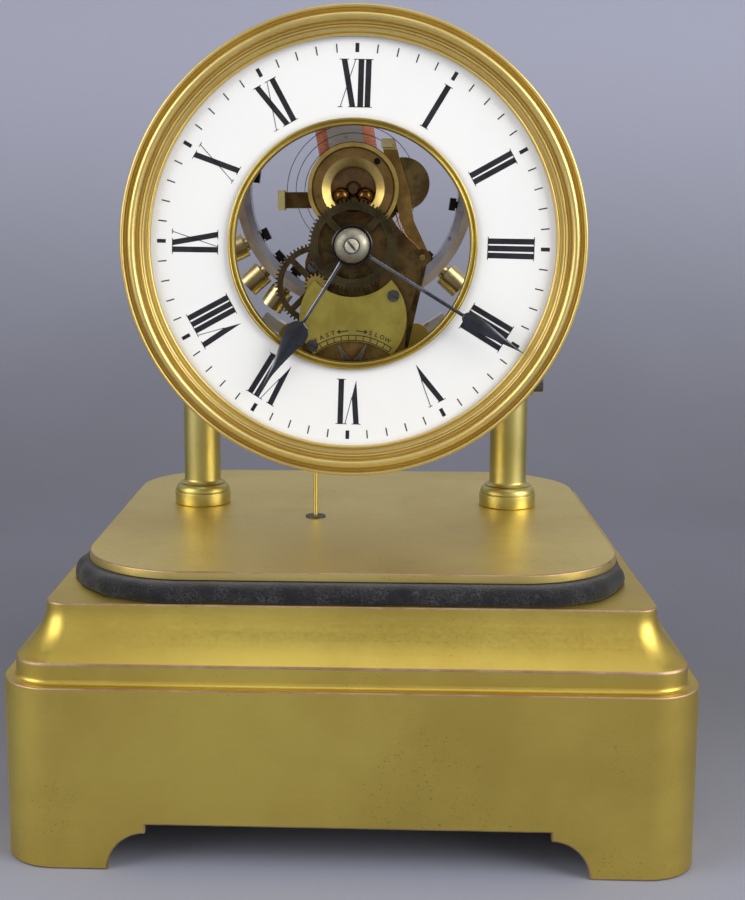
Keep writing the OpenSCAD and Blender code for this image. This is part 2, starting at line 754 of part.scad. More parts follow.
// Ball cup: a flanged bush with a raised rim, a flat and a bright chamfer
module cup(y_face, side) {
  f = cup_dia / 2;
  translate([0, y_face, staff_z]) rotate([side * 90, 0, 0]) rotate_extrude() polygon([
    [cup_body_r, 0], [f, 0], [f, cup_flange], [f - 1.4, cup_flange], [f - 1.4, cup_flange - 0.7],
    [f - 2, cup_flange - 0.7], [f - 2, cup_flange - 0.2], [cup_bore + 2.9, cup_flange - 0.2],
    [cup_bore, cup_flange - 2.2], [cup_bore, cup_wall - cup_len], [staff_r + 0.4, cup_wall - cup_len],
    [staff_r + 0.4, -cup_len], [cup_body_r, -cup_len]]);
}

module front_cup() {
  color("#a9823c") cup(plate_y, 1);
}

module rear_cup() {
  color("#a9823c") cup(back_y + back_t, -1);
}

module ball(y, side) {
  color("#b8bcc0") translate([side * ball_x, y, staff_z - ball_drop]) sphere(r = ball_r);
}

module front_ball_left() ball(plate_y + ball_in, -1);
module front_ball_right() ball(plate_y + ball_in, 1);
module rear_ball_left() ball(back_y + back_t - ball_in, -1);
module rear_ball_right() ball(back_y + back_t - ball_in, 1);

// Sector of a ring, drawn round the staff
module ring_2d(inner, outer, a0, a1, steps = 24) {
  polygon(concat(
    [for (i = [0 : steps]) outer * [cos(a0 + (a1 - a0) * i / steps), sin(a0 + (a1 - a0) * i / steps)]],
    [for (i = [steps : -1 : 0]) inner * [cos(a0 + (a1 - a0) * i / steps), sin(a0 + (a1 - a0) * i / steps)]]));
}

armature_half = 36;
module armature() {
  color("#8f9094") y_plate(balance_y - rim_h / 2, balance_y + rim_h / 2) translate([0, staff_z]) difference() {
    ring_2d(armature_in, armature_in + armature_t, -90 - armature_half, -90 + armature_half);
    for (sx = [-1, 1])
      translate([post_x * sx, post_screw_z - staff_z]) circle(r = 1.2);
  }
}

post_x = 23;
post_y = balance_y - 11;
post_pin_r = 2;
post_screw_z = staff_z - sqrt(pow(armature_in + armature_t / 2, 2) - post_x * post_x);
// Posts with a rounded head that hold the armature from the front
module armature_posts() {
  w = 9;
  color("#a5904c") for (sx = [-1, 1]) union() {
    y_plate(post_y - 2, post_y + 2) union() {
      translate([sx * post_x - w / 2, bridge_top]) square([w, post_screw_z - bridge_top]);
      translate([sx * post_x, post_screw_z]) circle(r = w / 2 + 0.4);
    }
    y_rod(sx * post_x, post_screw_z, post_y + 2 - eps, balance_y - rim_h / 2, 1.9);
    y_rod(sx * post_x, post_screw_z, balance_y - rim_h / 2 - eps, balance_y + rim_h / 2, 1.2 - eps);
    translate([sx * post_x, post_y, pillar_top]) cylinder(h = bridge_t + eps, r = post_pin_r - eps);
  }
}

// Arm on the train bridge that clamps the outer end of the hairspring
clamp_x = -hair_out;
clamp_z = staff_z - 3.8;
module stud_bracket() {
  arm_y = train_y + train_t;
  color("#a08b45") difference() {
    union() {
      translate([clamp_x - 2.6, arm_y, clamp_z - 2.9]) cube([-clamp_x + 2.6 - 6.6, 1.2, 5.8]);
      translate([clamp_x - 2.6, arm_y, clamp_z - 2.9]) cube([5.1, hair_y + 2 - arm_y, 5.8]);
      translate([clamp_x - 2.9, arm_y - 0.8, clamp_z - 3.5]) cube([2.5, hair_y + 2.8 - arm_y, 7]);
    }
    translate([clamp_x - hair_wire - 0.4, hair_y - hair_wire - 0.4, clamp_z - 10])
      cube([hair_wire + 2.15, 2 * hair_wire + 0.8, 20]);
  }
}

module contact_disc() {
  color("#7d6a35") difference() {
    union() {
      y_rod(disc_x, disc_z, disc_y, disc_y + disc_t, disc_r);
      y_rod(disc_x, disc_z, disc_y + disc_t - eps, train_y, 3);
      y_rod(disc_x, disc_z, train_y - eps, train_y + train_t, 2 - eps);
    }
    y_rod(blade_root, staff_z + 1.35, disc_y - 1, disc_y + disc_t - 0.3, blade_pin_r + run_gap);
  }
}

// Thin blade that the pin on the staff touches once a swing
blade_root = 11;
blade_tip = 5.1;
blade_pin_r = 0.6;
module contact_spring() {
  color("#c9b46a") union() {
    translate([blade_tip, contact_y, staff_z + 1.1]) cube([blade_root - blade_tip, contact_t - 0.1, 0.5]);
    y_rod(blade_root, staff_z + 1.35, contact_y, contact_y + contact_t - 0.1, 1.1);
    y_rod(blade_root, staff_z + 1.35, contact_y, disc_y + disc_t - 0.4, blade_pin_r);
  }
}

wire_path = [[15.2, 11], [16, 7.6], [17.4, 4.6], [19.6, 2], [21.8, 0], [23.6, -1.9]];
module lead_wire() {
  color("#b4713a") tube([for (p = wire_path) [p[0], plate_y - 0.35, arbor_z + p[1]]], 0.3);
}

// Name plate, left bare: a disc with a crescent cut out round the hour wheel
plate_disc = [0.2, -25.5];
plate_disc_r = 18.8;
scale_disc = [0.2, -32];
scale_disc_r = 18.4;
crescent_r = 18.2;
// The lower edge follows the inner line of the scale
module regulator_plate() {
  scale_edge = 21.3;
  color("#cdb63f") translate([0, 0, arbor_z]) difference() {
    intersection() {
      y_rod(plate_disc[0], plate_disc[1], name_y, name_y + name_t, plate_disc_r);
      translate([-20, name_y - 1, -41]) cube([40, name_t + 2, 30]);
    }
    y_rod(0, 0, name_y - 1, name_y + name_t + 1, crescent_r);
    y_rod(pointer_x, pointer_z - arbor_z, name_y - 1, name_y + name_t + 1, scale_edge);
    for (p = [left_screw, right_screw])
      y_rod(p[0], p[1], name_y - 1, name_y + name_t + 1, 1.2 + screw_gap);
  }
}

module scale_plate() {
  y1 = scale_y + scale_t;
  pivot = pointer_z - arbor_z;
  color("#8c7636") translate([0, 0, arbor_z]) difference() {
    union() {
      intersection() {
        y_rod(scale_disc[0], scale_disc[1], scale_y, y1, scale_disc_r);
        translate([-20, scale_y - 1, -45]) cube([40, scale_t + 2, 24]);
      }
      y_plate(scale_y, y1) polygon([[-16, -40], [16, -40], [10, pivot - 4], [-10, pivot - 4]]);
      y_rod(right_screw[0], right_screw[1], scale_y, y1, 2.6);
      y_plate(scale_y, y1) polygon([[10, -23], [17, -23], [16.6, -18], [12, -18]]);
    }
    for (p = [left_screw, right_screw])
      y_rod(p[0], p[1], scale_y - 1, y1 + 1, 1.2 + screw_gap);
    y_rod(pointer_x, pivot, scale_y - 1, y1 + 1, pin_r + run_gap);
  }
}

module regulator_posts() {
  color("#7f858c") for (p = [left_screw, right_screw]) union() {
    y_rod(p[0], arbor_z + p[1], scale_y + scale_t, plate_y, 2.1);
    y_rod(p[0], arbor_z + p[1], name_y - 0.3, scale_y + scale_t + eps, 1.2);
    y_rod(p[0], arbor_z + p[1], plate_y - eps, plate_back, 1.2 - eps);
    difference() {
      y_rod(p[0], arbor_z + p[1], name_y - 0.8, name_y, 2.1);
      translate([p[0], name_y - 0.8, arbor_z + p[1]]) rotate([0, 30, 0]) cube([5, 0.8, 0.5], center = true);
    }
  }
}

// Forked pointer that turns over the scale
// Fork with a deep notch between its two tips
module regulator_pointer() {
  reach = 20.5;
  spread = 13.5;
  tip_x = reach * sin(spread);
  tip_z = reach * cos(spread);
  notch = 14;
  color("#c9cdd2") union() {
    y_plate(pointer_y, pointer_y + pointer_t) translate([pointer_x, pointer_z]) {
      circle(r = 3);
      polygon([[-1.9, 0], [-2.4, notch - 1], [-tip_x - 0.1, tip_z], [-tip_x + 0.1, tip_z], [0, notch],
               [tip_x - 0.1, tip_z], [tip_x + 0.1, tip_z], [2.4, notch - 1], [1.9, 0]]);
    }
    y_rod(pointer_x, pointer_z, pointer_y + pointer_t - eps, scale_y + scale_t, pin_r);
    y_rod(pointer_x, pointer_z, pointer_y + pointer_t - eps, scale_y - 0.15, 2.2);
    y_rod(pointer_x, pointer_z, pointer_y - 1, pointer_y + eps, 1.9);
  }
}

// Balance: everything here turns with the staff
module on_staff() {
  translate([0, 0, staff_z]) rotate([0, -coil_angle, 0]) children();
}

cam_r = 3.3;
cam_off = 0.8;
module balance_staff() {
  back_end = back_y + back_t - ball_in + 1.6;
  front_end = plate_y + ball_in - 1.6;
  shoulder_f = plate_y + cup_len - cup_wall - 0.3;
  shoulder_b = back_y + back_t - cup_len + cup_wall + 0.3;
  color("#9a9da1") union() {
    y_rod(0, staff_z, front_end, shoulder_f + eps, pivot_dia / 2);
    y_rod(0, staff_z, shoulder_f, shoulder_b, staff_r);
    y_rod(0, staff_z, shoulder_b - eps, back_end, pivot_dia / 2);
    on_staff() y_rod(cam_off, 0, lever_y, lever_y + lever_t - 0.2, cam_r);
    y_rod(0, staff_z, contact_y, contact_y + contact_t - 0.1, 3.1);
    on_staff() y_rod(3.6, 0, contact_y, contact_y + contact_t - 0.1, 0.7);
    y_rod(0, staff_z, hair_y - 1.8, hair_y + 1.8, hair_in * cos(180 / hair_rings) - hair_wire - 0.05);
    y_rod(0, staff_z, balance_y - coil_d / 2 - 2.4, balance_y - coil_d / 2, hub_r);
    y_rod(0, staff_z, balance_y + coil_d / 2, balance_y + coil_d / 2 + 2.4, hub_r);
  }
}

// Iron core: a bar across the staff with poles beyond the rim and cover strips
module magnet_core() {
  strip_t = 0.9;
  block_d = coil_d + 2 * strip_t;
  color("#a4a5a8") on_staff() difference() {
    union() {
      intersection() {
        union() {
          translate([-pole_r, balance_y - core_d / 2, -core_w / 2]) cube([2 * pole_r, core_d, core_w]);
          for (s = [-1, 1]) {
            translate([s > 0 ? coil_top : -pole_r - 2, balance_y - rim_h / 2, -core_w / 2])
              cube([pole_r + 2 - coil_top, rim_h, core_w]);
            translate([s > 0 ? coil_top : -rim_in + 0.3, balance_y - block_d / 2, -core_w / 2])
              cube([rim_in - 0.3 - coil_top, block_d, core_w]);
          }
        }
        y_rod(0, 0, balance_y - rim_h, balance_y + rim_h, pole_r);
      }
      for (y = [balance_y - coil_d / 2 - strip_t, balance_y + coil_d / 2])
        translate([-coil_top - 0.6, y, -core_w / 2]) cube([2 * coil_top + 1.2, strip_t, core_w]);
    }
    y_rod(0, 0, balance_y - 20, balance_y + 20, staff_r + 2 * eps);
    for (y = [balance_y - coil_d / 2 - 3, balance_y + coil_d / 2])
      y_rod(0, 0, y - eps, y + 3, hub_r + 2 * eps);
  }
}

// Two silk covered windings, one on each arm of the core
coil_top = rim_in - 1.9;
coil_foot = 6.4;
module magnet_windings() {
  layers = 7;
  step = (coil_top - coil_foot) / layers;
  color("#a5482f") on_staff() for (s = [0, 180]) rotate([0, s, 0])
    translate([coil_foot, balance_y, 0]) rotate([90, 0, 90]) difference() {
      linear_extrude(coil_top - coil_foot) polygon(round_box(coil_d, coil_w, coil_d * 0.42, 5));
      translate([0, 0, -1]) linear_extrude(coil_top - coil_foot + 2)
        square([core_d, core_w], center = true);
    }
}

// One lamina of both half rims, from a pole round to the free end
module rim_lamina(inner, outer) {
  a0 = pole_half;
  a1 = 180 - pole_half - free_gap;
  on_staff() for (s = [0, 180]) rotate([0, -s, 0]) difference() {
    y_plate(balance_y - rim_h / 2, balance_y + rim_h / 2) ring_2d(inner, outer, a0, a1, 40);
    for (a = weight_angles)
      rotate([0, -a, 0]) translate([inner - 1, balance_y, 0]) rotate([0, 90, 0])
        cylinder(h = outer - inner + 2, r = stem_r + eps);
  }
}
stem_r = 1.3;

module rim_steel() {
  color("#a9acb2") rim_lamina(rim_in, rim_mid);
}

module rim_brass() {
  color("#9a7338") rim_lamina(rim_mid, rim_out);
}

// Brass weights outside the rim, each on a screw with a square head inside
module timing_weights() {
  head = 4.6;
  color("#bfa254") on_staff() for (s = [0, 180]) for (a = weight_angles)
    rotate([0, -s - a, 0]) translate([0, balance_y, 0]) rotate([0, 90, 0]) union() {
      translate([0, 0, weight_base]) cylinder(h = weight_len, r = weight_dia / 2);
      translate([0, 0, rim_out + 0.05]) cylinder(h = weight_base - rim_out, r = 2.6);
      translate([0, 0, rim_in - 2.4]) cylinder(h = weight_base - rim_in + 3, r = stem_r);
      translate([-head / 2, -head / 2, rim_in - 3]) cube([head, head, 2.3]);
    }
}

// Flat spiral from the collet to the stud
hair_end = 180 + asin((staff_z - clamp_z) / hair_out);
function hair_point(t) =
  let (a = hair_end - 360 * hair_turns * (1 - t), r = hair_in + (hair_out - hair_in) * t)
  [r * cos(a), hair_y, staff_z + r * sin(a)];
hair_rings = 8;
hair_path = [for (i = [0 : hair_turns * hair_rings]) hair_point(i / (hair_turns * hair_rings))];
hair_gap = min([for (i = [0 : len(hair_path) - 1]) for (j = [0 : len(hair_path) - 1])
  if (j > i + hair_rings / 2) norm(hair_path[i] - hair_path[j])]) - 2 * hair_wire;
echo(hairspring_least_gap = hair_gap);

module hairspring() {
  color("#2f3b57") tube(hair_path, hair_wire);
}

// Lever driven by the cam on the staff; its lower arm carries the pawl
lever_dir = atan2(ratchet_z - lever_z, ratchet_x - lever_x);
lever_to_ratchet = norm([ratchet_z - lever_z, ratchet_x - lever_x]);
pawl_gap = 0.35;
follower_gap = 1.2;
module pawl_lever() {
  follower_x = cam_r + cam_off + follower_gap;
  color("#96803f") union() {
    y_plate(lever_y, lever_y + lever_t) union() {
        polygon([for (p = [[lever_x - 2.2, lever_z - arbor_z], [16.6, 8], [14.6, 19], [11.4, 29], [9.6, 36.5],
                 [14.6, 36.5], [16.6, 29], [19.8, 19], [21.6, 8], [lever_x + 2.6, lever_z - arbor_z + 1]])
                 [p[0], arbor_z + p[1]]]);
        translate([lever_x, lever_z]) circle(r = 3);
        translate([lever_x, lever_z]) rotate(lever_dir) polygon([
          [0, -2.4], [lever_to_ratchet - ratchet_r - 3.5, -1.6], [lever_to_ratchet - ratchet_r - pawl_gap, -0.3],
          [lever_to_ratchet - ratchet_r - pawl_gap, 0.3], [lever_to_ratchet - ratchet_r - 3.5, 1.6], [0, 2.4]]);
        translate([follower_x, staff_z - 1]) square([16.5 - follower_x, 2]);
    }
    y_rod(lever_x, lever_z, plate_y - 0.6, train_y + train_t + 0.4, pin_r);
    translate([9.8, lever_y - 2.4, arbor_z + 33.9]) cube([4.6, 2.4 + eps, 3]);
  }
}

// Wheel with undercut teeth that the pawl gathers one at a time
ratchet_teeth = 60;
function ratchet_outline() = [for (i = [0 : ratchet_teeth - 1]) for (p = [[ratchet_r, 0], [ratchet_r - 0.55, 1.1]])
  p[0] * [cos(i * 360 / ratchet_teeth + p[1]), sin(i * 360 / ratchet_teeth + p[1])]];

module ratchet_wheel() {
  mesh_y = plate_back + 1.5;
  color("#9b8340") union() {
    translate([ratchet_x, 0, ratchet_z]) {
      y_plate(lever_y + 0.1, lever_y + lever_t - 0.1) difference() {
        polygon(ratchet_outline());
        for (i = [0 : 3])
          rotate(i * 90 + 45) spoke_window(ratchet_r - 2, 2.6, 90);
      }
      y_plate(mesh_y - 0.3, mesh_y + 1.3)
        rotate(ratchet_dir + 180) polygon(tooth_outline(12, train_m, backlash));
    }
    y_rod(ratchet_x, ratchet_z, plate_y - 0.2, train_y + train_t + 0.4, pin_r);
  }
}

module transfer_wheel() {
  mesh_y = plate_back + 1.5;
  color("#9b8340") union() {
    translate([transfer_x, 0, transfer_z]) {
      y_plate(mesh_y, mesh_y + 1)
        wheel_2d(48, train_m, 4, 1.4, 2.6, 0, ratchet_dir + 360 / 48 / 2);
      y_plate(centre_y - 0.4, centre_y + 1.4)
        rotate(transfer_dir + 180 + 360 / 12 / 2) polygon(tooth_outline(12, train_m, backlash));
    }
    y_rod(transfer_x, transfer_z, plate_y - 0.2, train_y + train_t + 0.4, pin_r);
  }
}

centre_y = disc_y + 0.6;
module centre_wheel() {
  color("#9b8340") union() {
    translate([0, 0, arbor_z])
      y_plate(centre_y, centre_y + 1) wheel_2d(60, train_m, 4, 1.6, 3, 0, transfer_dir);
    y_rod(0, arbor_z, centre_y - 1, centre_y + 1.8, 2.6);
    y_rod(0, arbor_z, train_y - 0.6, train_y + train_t + 0.4, pin_r);
    y_rod(0, arbor_z, minute_hand_y - 2.5, train_y - 0.5, arbor_r);
  }
}

// Pinion and pipe that turn with the minute hand
pipe_r = 2.2;
module cannon_pinion() {
  color("#8f8a7a") difference() {
    union() {
      translate([0, 0, arbor_z]) y_plate(minute_y - 0.2, minute_y + minute_t + 0.2)
        rotate(motion_dir) polygon(tooth_outline(20, motion_m, backlash));
      y_rod(0, arbor_z, minute_hand_y + hand_t, plate_y - 0.4, pipe_r);
    }
    y_rod(0, arbor_z, minute_hand_y - 5, plate_y + 1, arbor_r + eps);
  }
}

module minute_wheel() {
  color("#8c7335") difference() {
    union() {
      translate([stud_x, 0, stud_z]) {
        y_plate(minute_y, minute_y + minute_t)
          wheel_2d(60, motion_m, 4, 2, 3.4, 0, motion_dir + 180 + 360 / 60 / 2);
        y_plate(hour_y - 0.3, hour_y + hour_t + 0.3)
          rotate(motion_dir + 180) polygon(tooth_outline(16, motion_m, backlash));
      }
      y_rod(stud_x, stud_z, hour_y + hour_t, minute_y + eps, 2.6);
      y_rod(stud_x, stud_z, minute_y, plate_y - 1.2, 2.6);
    }
    y_rod(stud_x, stud_z, hour_y - 2, plate_y, stud_r + run_gap);
  }
}

// Wheel and pipe that turn with the hour hand
module hour_wheel() {
  color("#7a6430") difference() {
    union() {
      translate([0, 0, arbor_z]) y_plate(hour_y, hour_y + hour_t)
        wheel_2d(64, motion_m, 4, 2.6, 5.4, 0, motion_dir + 360 / 64 / 2);
      y_rod(0, arbor_z, hour_y - 0.8, hour_y + eps, 5);
      y_rod(0, arbor_z, hour_hand_y + hand_t + 1.4, hour_y, hour_pipe_r);
      y_rod(0, arbor_z, hour_y + hour_t - eps, minute_y - 0.5, hour_pipe_r);
    }
    y_rod(0, arbor_z, hour_hand_y - 5, minute_y, pipe_r + run_gap);
  }
}
hour_pipe_r = 3.2;

// Half outline of a hand along +Y: a stem, a round shoulder, then a long point
shoulder = 0.17;
function pear_half(t, power) = t < shoulder
  ? sqrt(1 - pow(1 - t / shoulder, 2))
  : pow((1 - t) / (1 - shoulder), power);

function pear_outline(root, start, width, reach, power) = concat(
  [[1, root], [0.62, root + 6], [0.6, start]],
  [for (t = [0.02, 0.06, 0.11, 0.17, 0.23, 0.31, 0.41, 0.53, 0.67, 0.83])
    [max(0.6, width * pear_half(t, power)), start + (reach - start) * t]],
  [[0.12, reach]]);

module hand_2d(root, start, width, reach, power) {
  half = pear_outline(root, start, width, reach, power);
  polygon(concat(half, [for (i = [len(half) - 1 : -1 : 0]) [-half[i][0], half[i][1]]]));
}

module minute_hand() {
  color("#26355a") difference() {
    translate([0, 0, arbor_z]) y_plate(minute_hand_y, minute_hand_y + hand_t) union() {
      rotate(-minute_angle) hand_2d(3, 44.3, 2.8, minute_len, 1.08);
      circle(r = 4.6);
    }
    y_rod(0, arbor_z, minute_hand_y - 1, minute_hand_y + 2, arbor_r + eps);
  }
}

module hour_hand() {
  color("#26355a") difference() {
    union() {
      translate([0, 0, arbor_z]) y_plate(hour_hand_y, hour_hand_y + hand_t) union() {
        rotate(-hour_angle) hand_2d(5, 31, 4.2, hour_len, 1.6);
        circle(r = 6.9);
      }
      y_rod(0, arbor_z, hour_hand_y + hand_t - eps, hour_hand_y + hand_t + 1.4, 4.4);
    }
    y_rod(0, arbor_z, hour_hand_y - 1, hour_hand_y + 4, pipe_r + run_gap);
  }
}

// Polished collet with its slotted screw
module hand_collet() {
  r = 5.9;
  screw_r = 2.4;
  color("#b4b1a6") union() {
    y_turned(0, arbor_z, minute_hand_y - 3.4,
      [[0, 0], [screw_r + 0.5, 0.1], [4.2, 0.7], [5.3, 1.7], [r, 2.9], [r, 3.4], [arbor_r + eps, 3.4],
       [arbor_r + eps, 0.9], [0, 0.9]]);
    difference() {
      y_turned(0, arbor_z, minute_hand_y - 4.6,
        [[0, 0], [screw_r - 0.5, 0.15], [screw_r, 0.7], [screw_r, 1.3], [0, 1.3]]);
      translate([0, minute_hand_y - 4.6, arbor_z]) rotate([0, 50, 0]) cube([8, 0.9, 0.7], center = true);
    }
  }
}

// Turned bezel from the thin lip over the enamel out to the outer bead
module bezel() {
  rear = 4;
  torus_r = 1.45;
  torus_c = bezel_r - 4;
  skirt = bezel_r - 2;
  color("#c0a24a") y_turned(0, arbor_z, enamel_y, concat(
    [[enamel_r, -0.15], [enamel_r, -1.9], [enamel_r + 0.3, -2.2], [enamel_r + 0.9, -2.2], [enamel_r + 1, -1.7]],
    [for (i = [0 : 5]) [enamel_r + 1.1 + i * 0.4, -1.6 + 0.5 * sin(i * 36) - 0.1 * i]],
    [[enamel_r + 3.1, -2.9], [enamel_r + 3.5, -3.3], [enamel_r + 3.9, -3.1]],
    [for (i = [0 : 10]) [torus_c - torus_r * cos(180 * i / 10), -3.4 - 1.6 * sin(180 * i / 10)]],
    [[bezel_r - 2.4, -2.6], [bezel_r - 1.45, -2.6], [bezel_r - 1.2, -3.4], [bezel_r - 0.65, -3.7],
     [bezel_r - 0.1, -3.4], [bezel_r, -2.6], [bezel_r, rear], [skirt, rear], [skirt, -0.15]]));
}

module enamel_dial() {
  color("#f4f4f2") difference() {
    y_rod(0, arbor_z, enamel_y, backing_y, enamel_r + 2.4);
    y_rod(0, arbor_z, enamel_y - 1, backing_y + 1, sight_r - 0.8);
  }
}

// Beaded ring that lines the opening and laps over the enamel
module sight_ring() {
  tail = enamel_t + backing_t + 0.6;
  color("#cdb13c") y_turned(0, arbor_z, enamel_y, [
    [open_r, -2.2], [open_r + 0.5, -2.6], [open_r + 1, -2.2], [open_r + 1.1, -1.6], [open_r + 1.5, -1.6],
    [open_r + 1.7, -2], [sight_r - 0.2, -1.7], [sight_r, -1.2], [sight_r, 0], [sight_r - 1, 0],
    [sight_r - 1, tail], [open_r, tail]]);
}

module dial_backing() {
  color("#93804a") difference() {
    y_rod(0, arbor_z, backing_y, backing_y + backing_t, bezel_r - 2.1);
    y_rod(0, arbor_z, backing_y - 1, backing_y + backing_t + 1, sight_r - 0.8);
  }
}

foot_tip_r = 1.6;
module dial_feet() {
  color("#93804a") for (p = foot_places) union() {
    y_rod(p[0], arbor_z + p[1], backing_y + backing_t, plate_back, dial_foot_r);
    y_rod(p[0], arbor_z + p[1], plate_back - eps, plate_back + yoke_d + 3.2, foot_tip_r);
    y_rod(p[0], arbor_z + p[1], plate_back + yoke_d, plate_back + yoke_d + 2.2, 3.4);
  }
}

plinth_box();
plinth_cove();
plinth_screws();
seat_riser();
velvet_seat();
platform();
left_pillar();
right_pillar();
pillar_bolts();
feed_bush();
feed_rod();
dry_cell();
cell_terminals();
cell_straps();
frame_bridge();
bridge_screws();
side_screw();
front_plate();
back_plate();
plate_screws();
train_bridge();
train_posts();
front_cup();
rear_cup();
front_ball_left();
front_ball_right();
rear_ball_left();
rear_ball_right();
armature();
armature_posts();
stud_bracket();
contact_disc();
contact_spring();
lead_wire();
regulator_plate();
scale_plate();
regulator_posts();
regulator_pointer();
balance_staff();
magnet_core();
magnet_windings();
rim_steel();
rim_brass();
timing_weights();
hairspring();
pawl_lever();
ratchet_wheel();
transfer_wheel();
centre_wheel();
cannon_pinion();
minute_wheel();
hour_wheel();
minute_hand();
hour_hand();
hand_collet();
bezel();
enamel_dial();
sight_ring();
dial_backing();
dial_feet();
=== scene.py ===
import logging
import math
import random
from dataclasses import dataclass
from enum import Enum
from typing import Callable, Optional, Sequence, Union

import bmesh
import bpy
from mathutils import Matrix, Vector


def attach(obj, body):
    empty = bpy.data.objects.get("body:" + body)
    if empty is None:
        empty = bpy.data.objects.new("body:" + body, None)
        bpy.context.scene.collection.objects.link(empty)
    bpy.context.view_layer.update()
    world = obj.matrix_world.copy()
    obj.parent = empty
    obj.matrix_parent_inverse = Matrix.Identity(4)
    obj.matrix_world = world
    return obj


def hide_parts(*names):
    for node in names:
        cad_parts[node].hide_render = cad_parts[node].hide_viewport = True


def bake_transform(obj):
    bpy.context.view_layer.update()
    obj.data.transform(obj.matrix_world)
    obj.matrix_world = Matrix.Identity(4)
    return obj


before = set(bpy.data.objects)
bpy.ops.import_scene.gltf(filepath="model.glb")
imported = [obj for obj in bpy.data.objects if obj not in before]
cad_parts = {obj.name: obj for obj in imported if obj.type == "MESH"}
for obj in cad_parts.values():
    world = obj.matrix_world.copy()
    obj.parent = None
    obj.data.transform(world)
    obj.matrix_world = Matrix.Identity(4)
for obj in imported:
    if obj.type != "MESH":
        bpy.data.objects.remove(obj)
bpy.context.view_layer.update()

LOG = logging.getLogger("open_dial_clock")
Point = tuple[float, float]
Loop = list[Point]
Spot = tuple[float, float, float]
Rgba = tuple[float, float, float, float]
Mesh = bpy.types.Mesh
Piece = bpy.types.Object
Node = bpy.types.Node
Tree = bpy.types.NodeTree
Socket = bpy.types.NodeSocket
Sockets = bpy.types.bpy_prop_collection
Source = Union[Socket, float]

# Sizes are in millimetres unless something else is said; this makes them metres
MM = 0.001
# Angle in degrees from which an edge stays sharp
SHARP = 35.0
# How far a cutter stands out of what it cuts, in millimetres
OVERCUT = 5.0
BASE = "clock_base"

# Places that the CAD model gives, in millimetres and degrees
ARBOR_Z = 201.45
STAFF_Z = 220.75
ARBOR = (0.0, ARBOR_Z)
STAFF = (0.0, STAFF_Z)
ENAMEL_FRONT = -58.4
BALANCE_Y = -8.0
COIL_LEAN = 10.0


class Axis(Enum):
    """The direction that a turned piece or a zone runs along."""

    X = 0
    Y = 1
    Z = 2


def tint(red: int, green: int, blue: int) -> Rgba:
    """Turn a colour as seen on a screen into linear light.

    Args:
        red: Red part, 0 to 255.
        green: Green part, 0 to 255.
        blue: Blue part, 0 to 255.

    Returns:
        The linear colour with full opacity.
    """
    shares = (part / 255 for part in (red, green, blue))
    linear = [s / 12.92 if s <= 0.04045 else ((s + 0.055) / 1.055) ** 2.4 for s in shares]
    return (*linear, 1.0)


def put(name: str, data: bpy.types.ID) -> Piece:
    """Make an object of some data and put it in the scene.

    Args:
        name: Name of the object.
        data: Its mesh, letters, lamp or camera.

    Returns:
        The object.
    """
    made = bpy.data.objects.new(name, data)
    bpy.context.scene.collection.objects.link(made)
    return made


def taken(piece: Piece) -> Mesh:
    """Take the finished mesh of an object, and remove the object.

    Args:
        piece: The object, with its modifiers.

    Returns:
        The mesh that they lead to.
    """
    mesh = bpy.data.meshes.new_from_object(
        piece.evaluated_get(bpy.context.evaluated_depsgraph_get()))
    bpy.data.objects.remove(piece)
    return mesh


def arc(centre: Point, radius: float, start: float, end: float, steps: int = 8) -> Loop:
    """Points of an arc in a profile, from one angle in degrees to another."""
    turn = [math.radians(start + (end - start) * i / steps) for i in range(steps + 1)]
    return [(centre[0] + radius * math.cos(a), centre[1] + radius * math.sin(a)) for a in turn]


def rounded_rect(width: float, depth: float, radius: float, steps: int = 12) -> Loop:
    """Outline of a rectangle with round corners, anticlockwise.

    Args:
        width: Size along the first axis.
        depth: Size along the second axis.
        radius: Radius of the corners.
        steps: Chords in each corner.

    Returns:
        The points of the outline.
    """
    loop: Loop = []
    for side_x, side_y, start in ((1, 1, 0), (-1, 1, 90), (-1, -1, 180), (1, -1, 270)):
        centre = side_x * (width / 2 - radius), side_y * (depth / 2 - radius)
        loop += arc(centre, radius, start, start + 90, steps)
    return loop


def smooth(mesh: Mesh, sharp: float = SHARP) -> None:
    """Shade a mesh smooth, with sharp edges from the given angle in degrees."""
    mesh.polygons.foreach_set("use_smooth", [True] * len(mesh.polygons))
    mesh.set_sharp_from_angle(angle=math.radians(sharp))


def mesh_of(name: str, points: Sequence[Spot], faces: Sequence[Sequence[int]],
            sharp: float = SHARP) -> Mesh:
    """Make a clean mesh with smooth shading between shallow angles.

    Args:
        name: Name of the mesh.
        points: Corners in millimetres.
        faces: Corner numbers of each face.
        sharp: Angle in degrees from which an edge stays sharp.

    Returns:
        The mesh, in metres.
    """
    mesh = bpy.data.meshes.new(name)
    mesh.from_pydata([tuple(c * MM for c in p) for p in points], [], [list(f) for f in faces])
    sheet = bmesh.new()
    sheet.from_mesh(mesh)
    bmesh.ops.remove_doubles(sheet, verts=sheet.verts, dist=1e-7)
    bmesh.ops.recalc_face_normals(sheet, faces=sheet.faces)
    sheet.to_mesh(mesh)
    sheet.free()
    smooth(mesh, sharp)
    return mesh


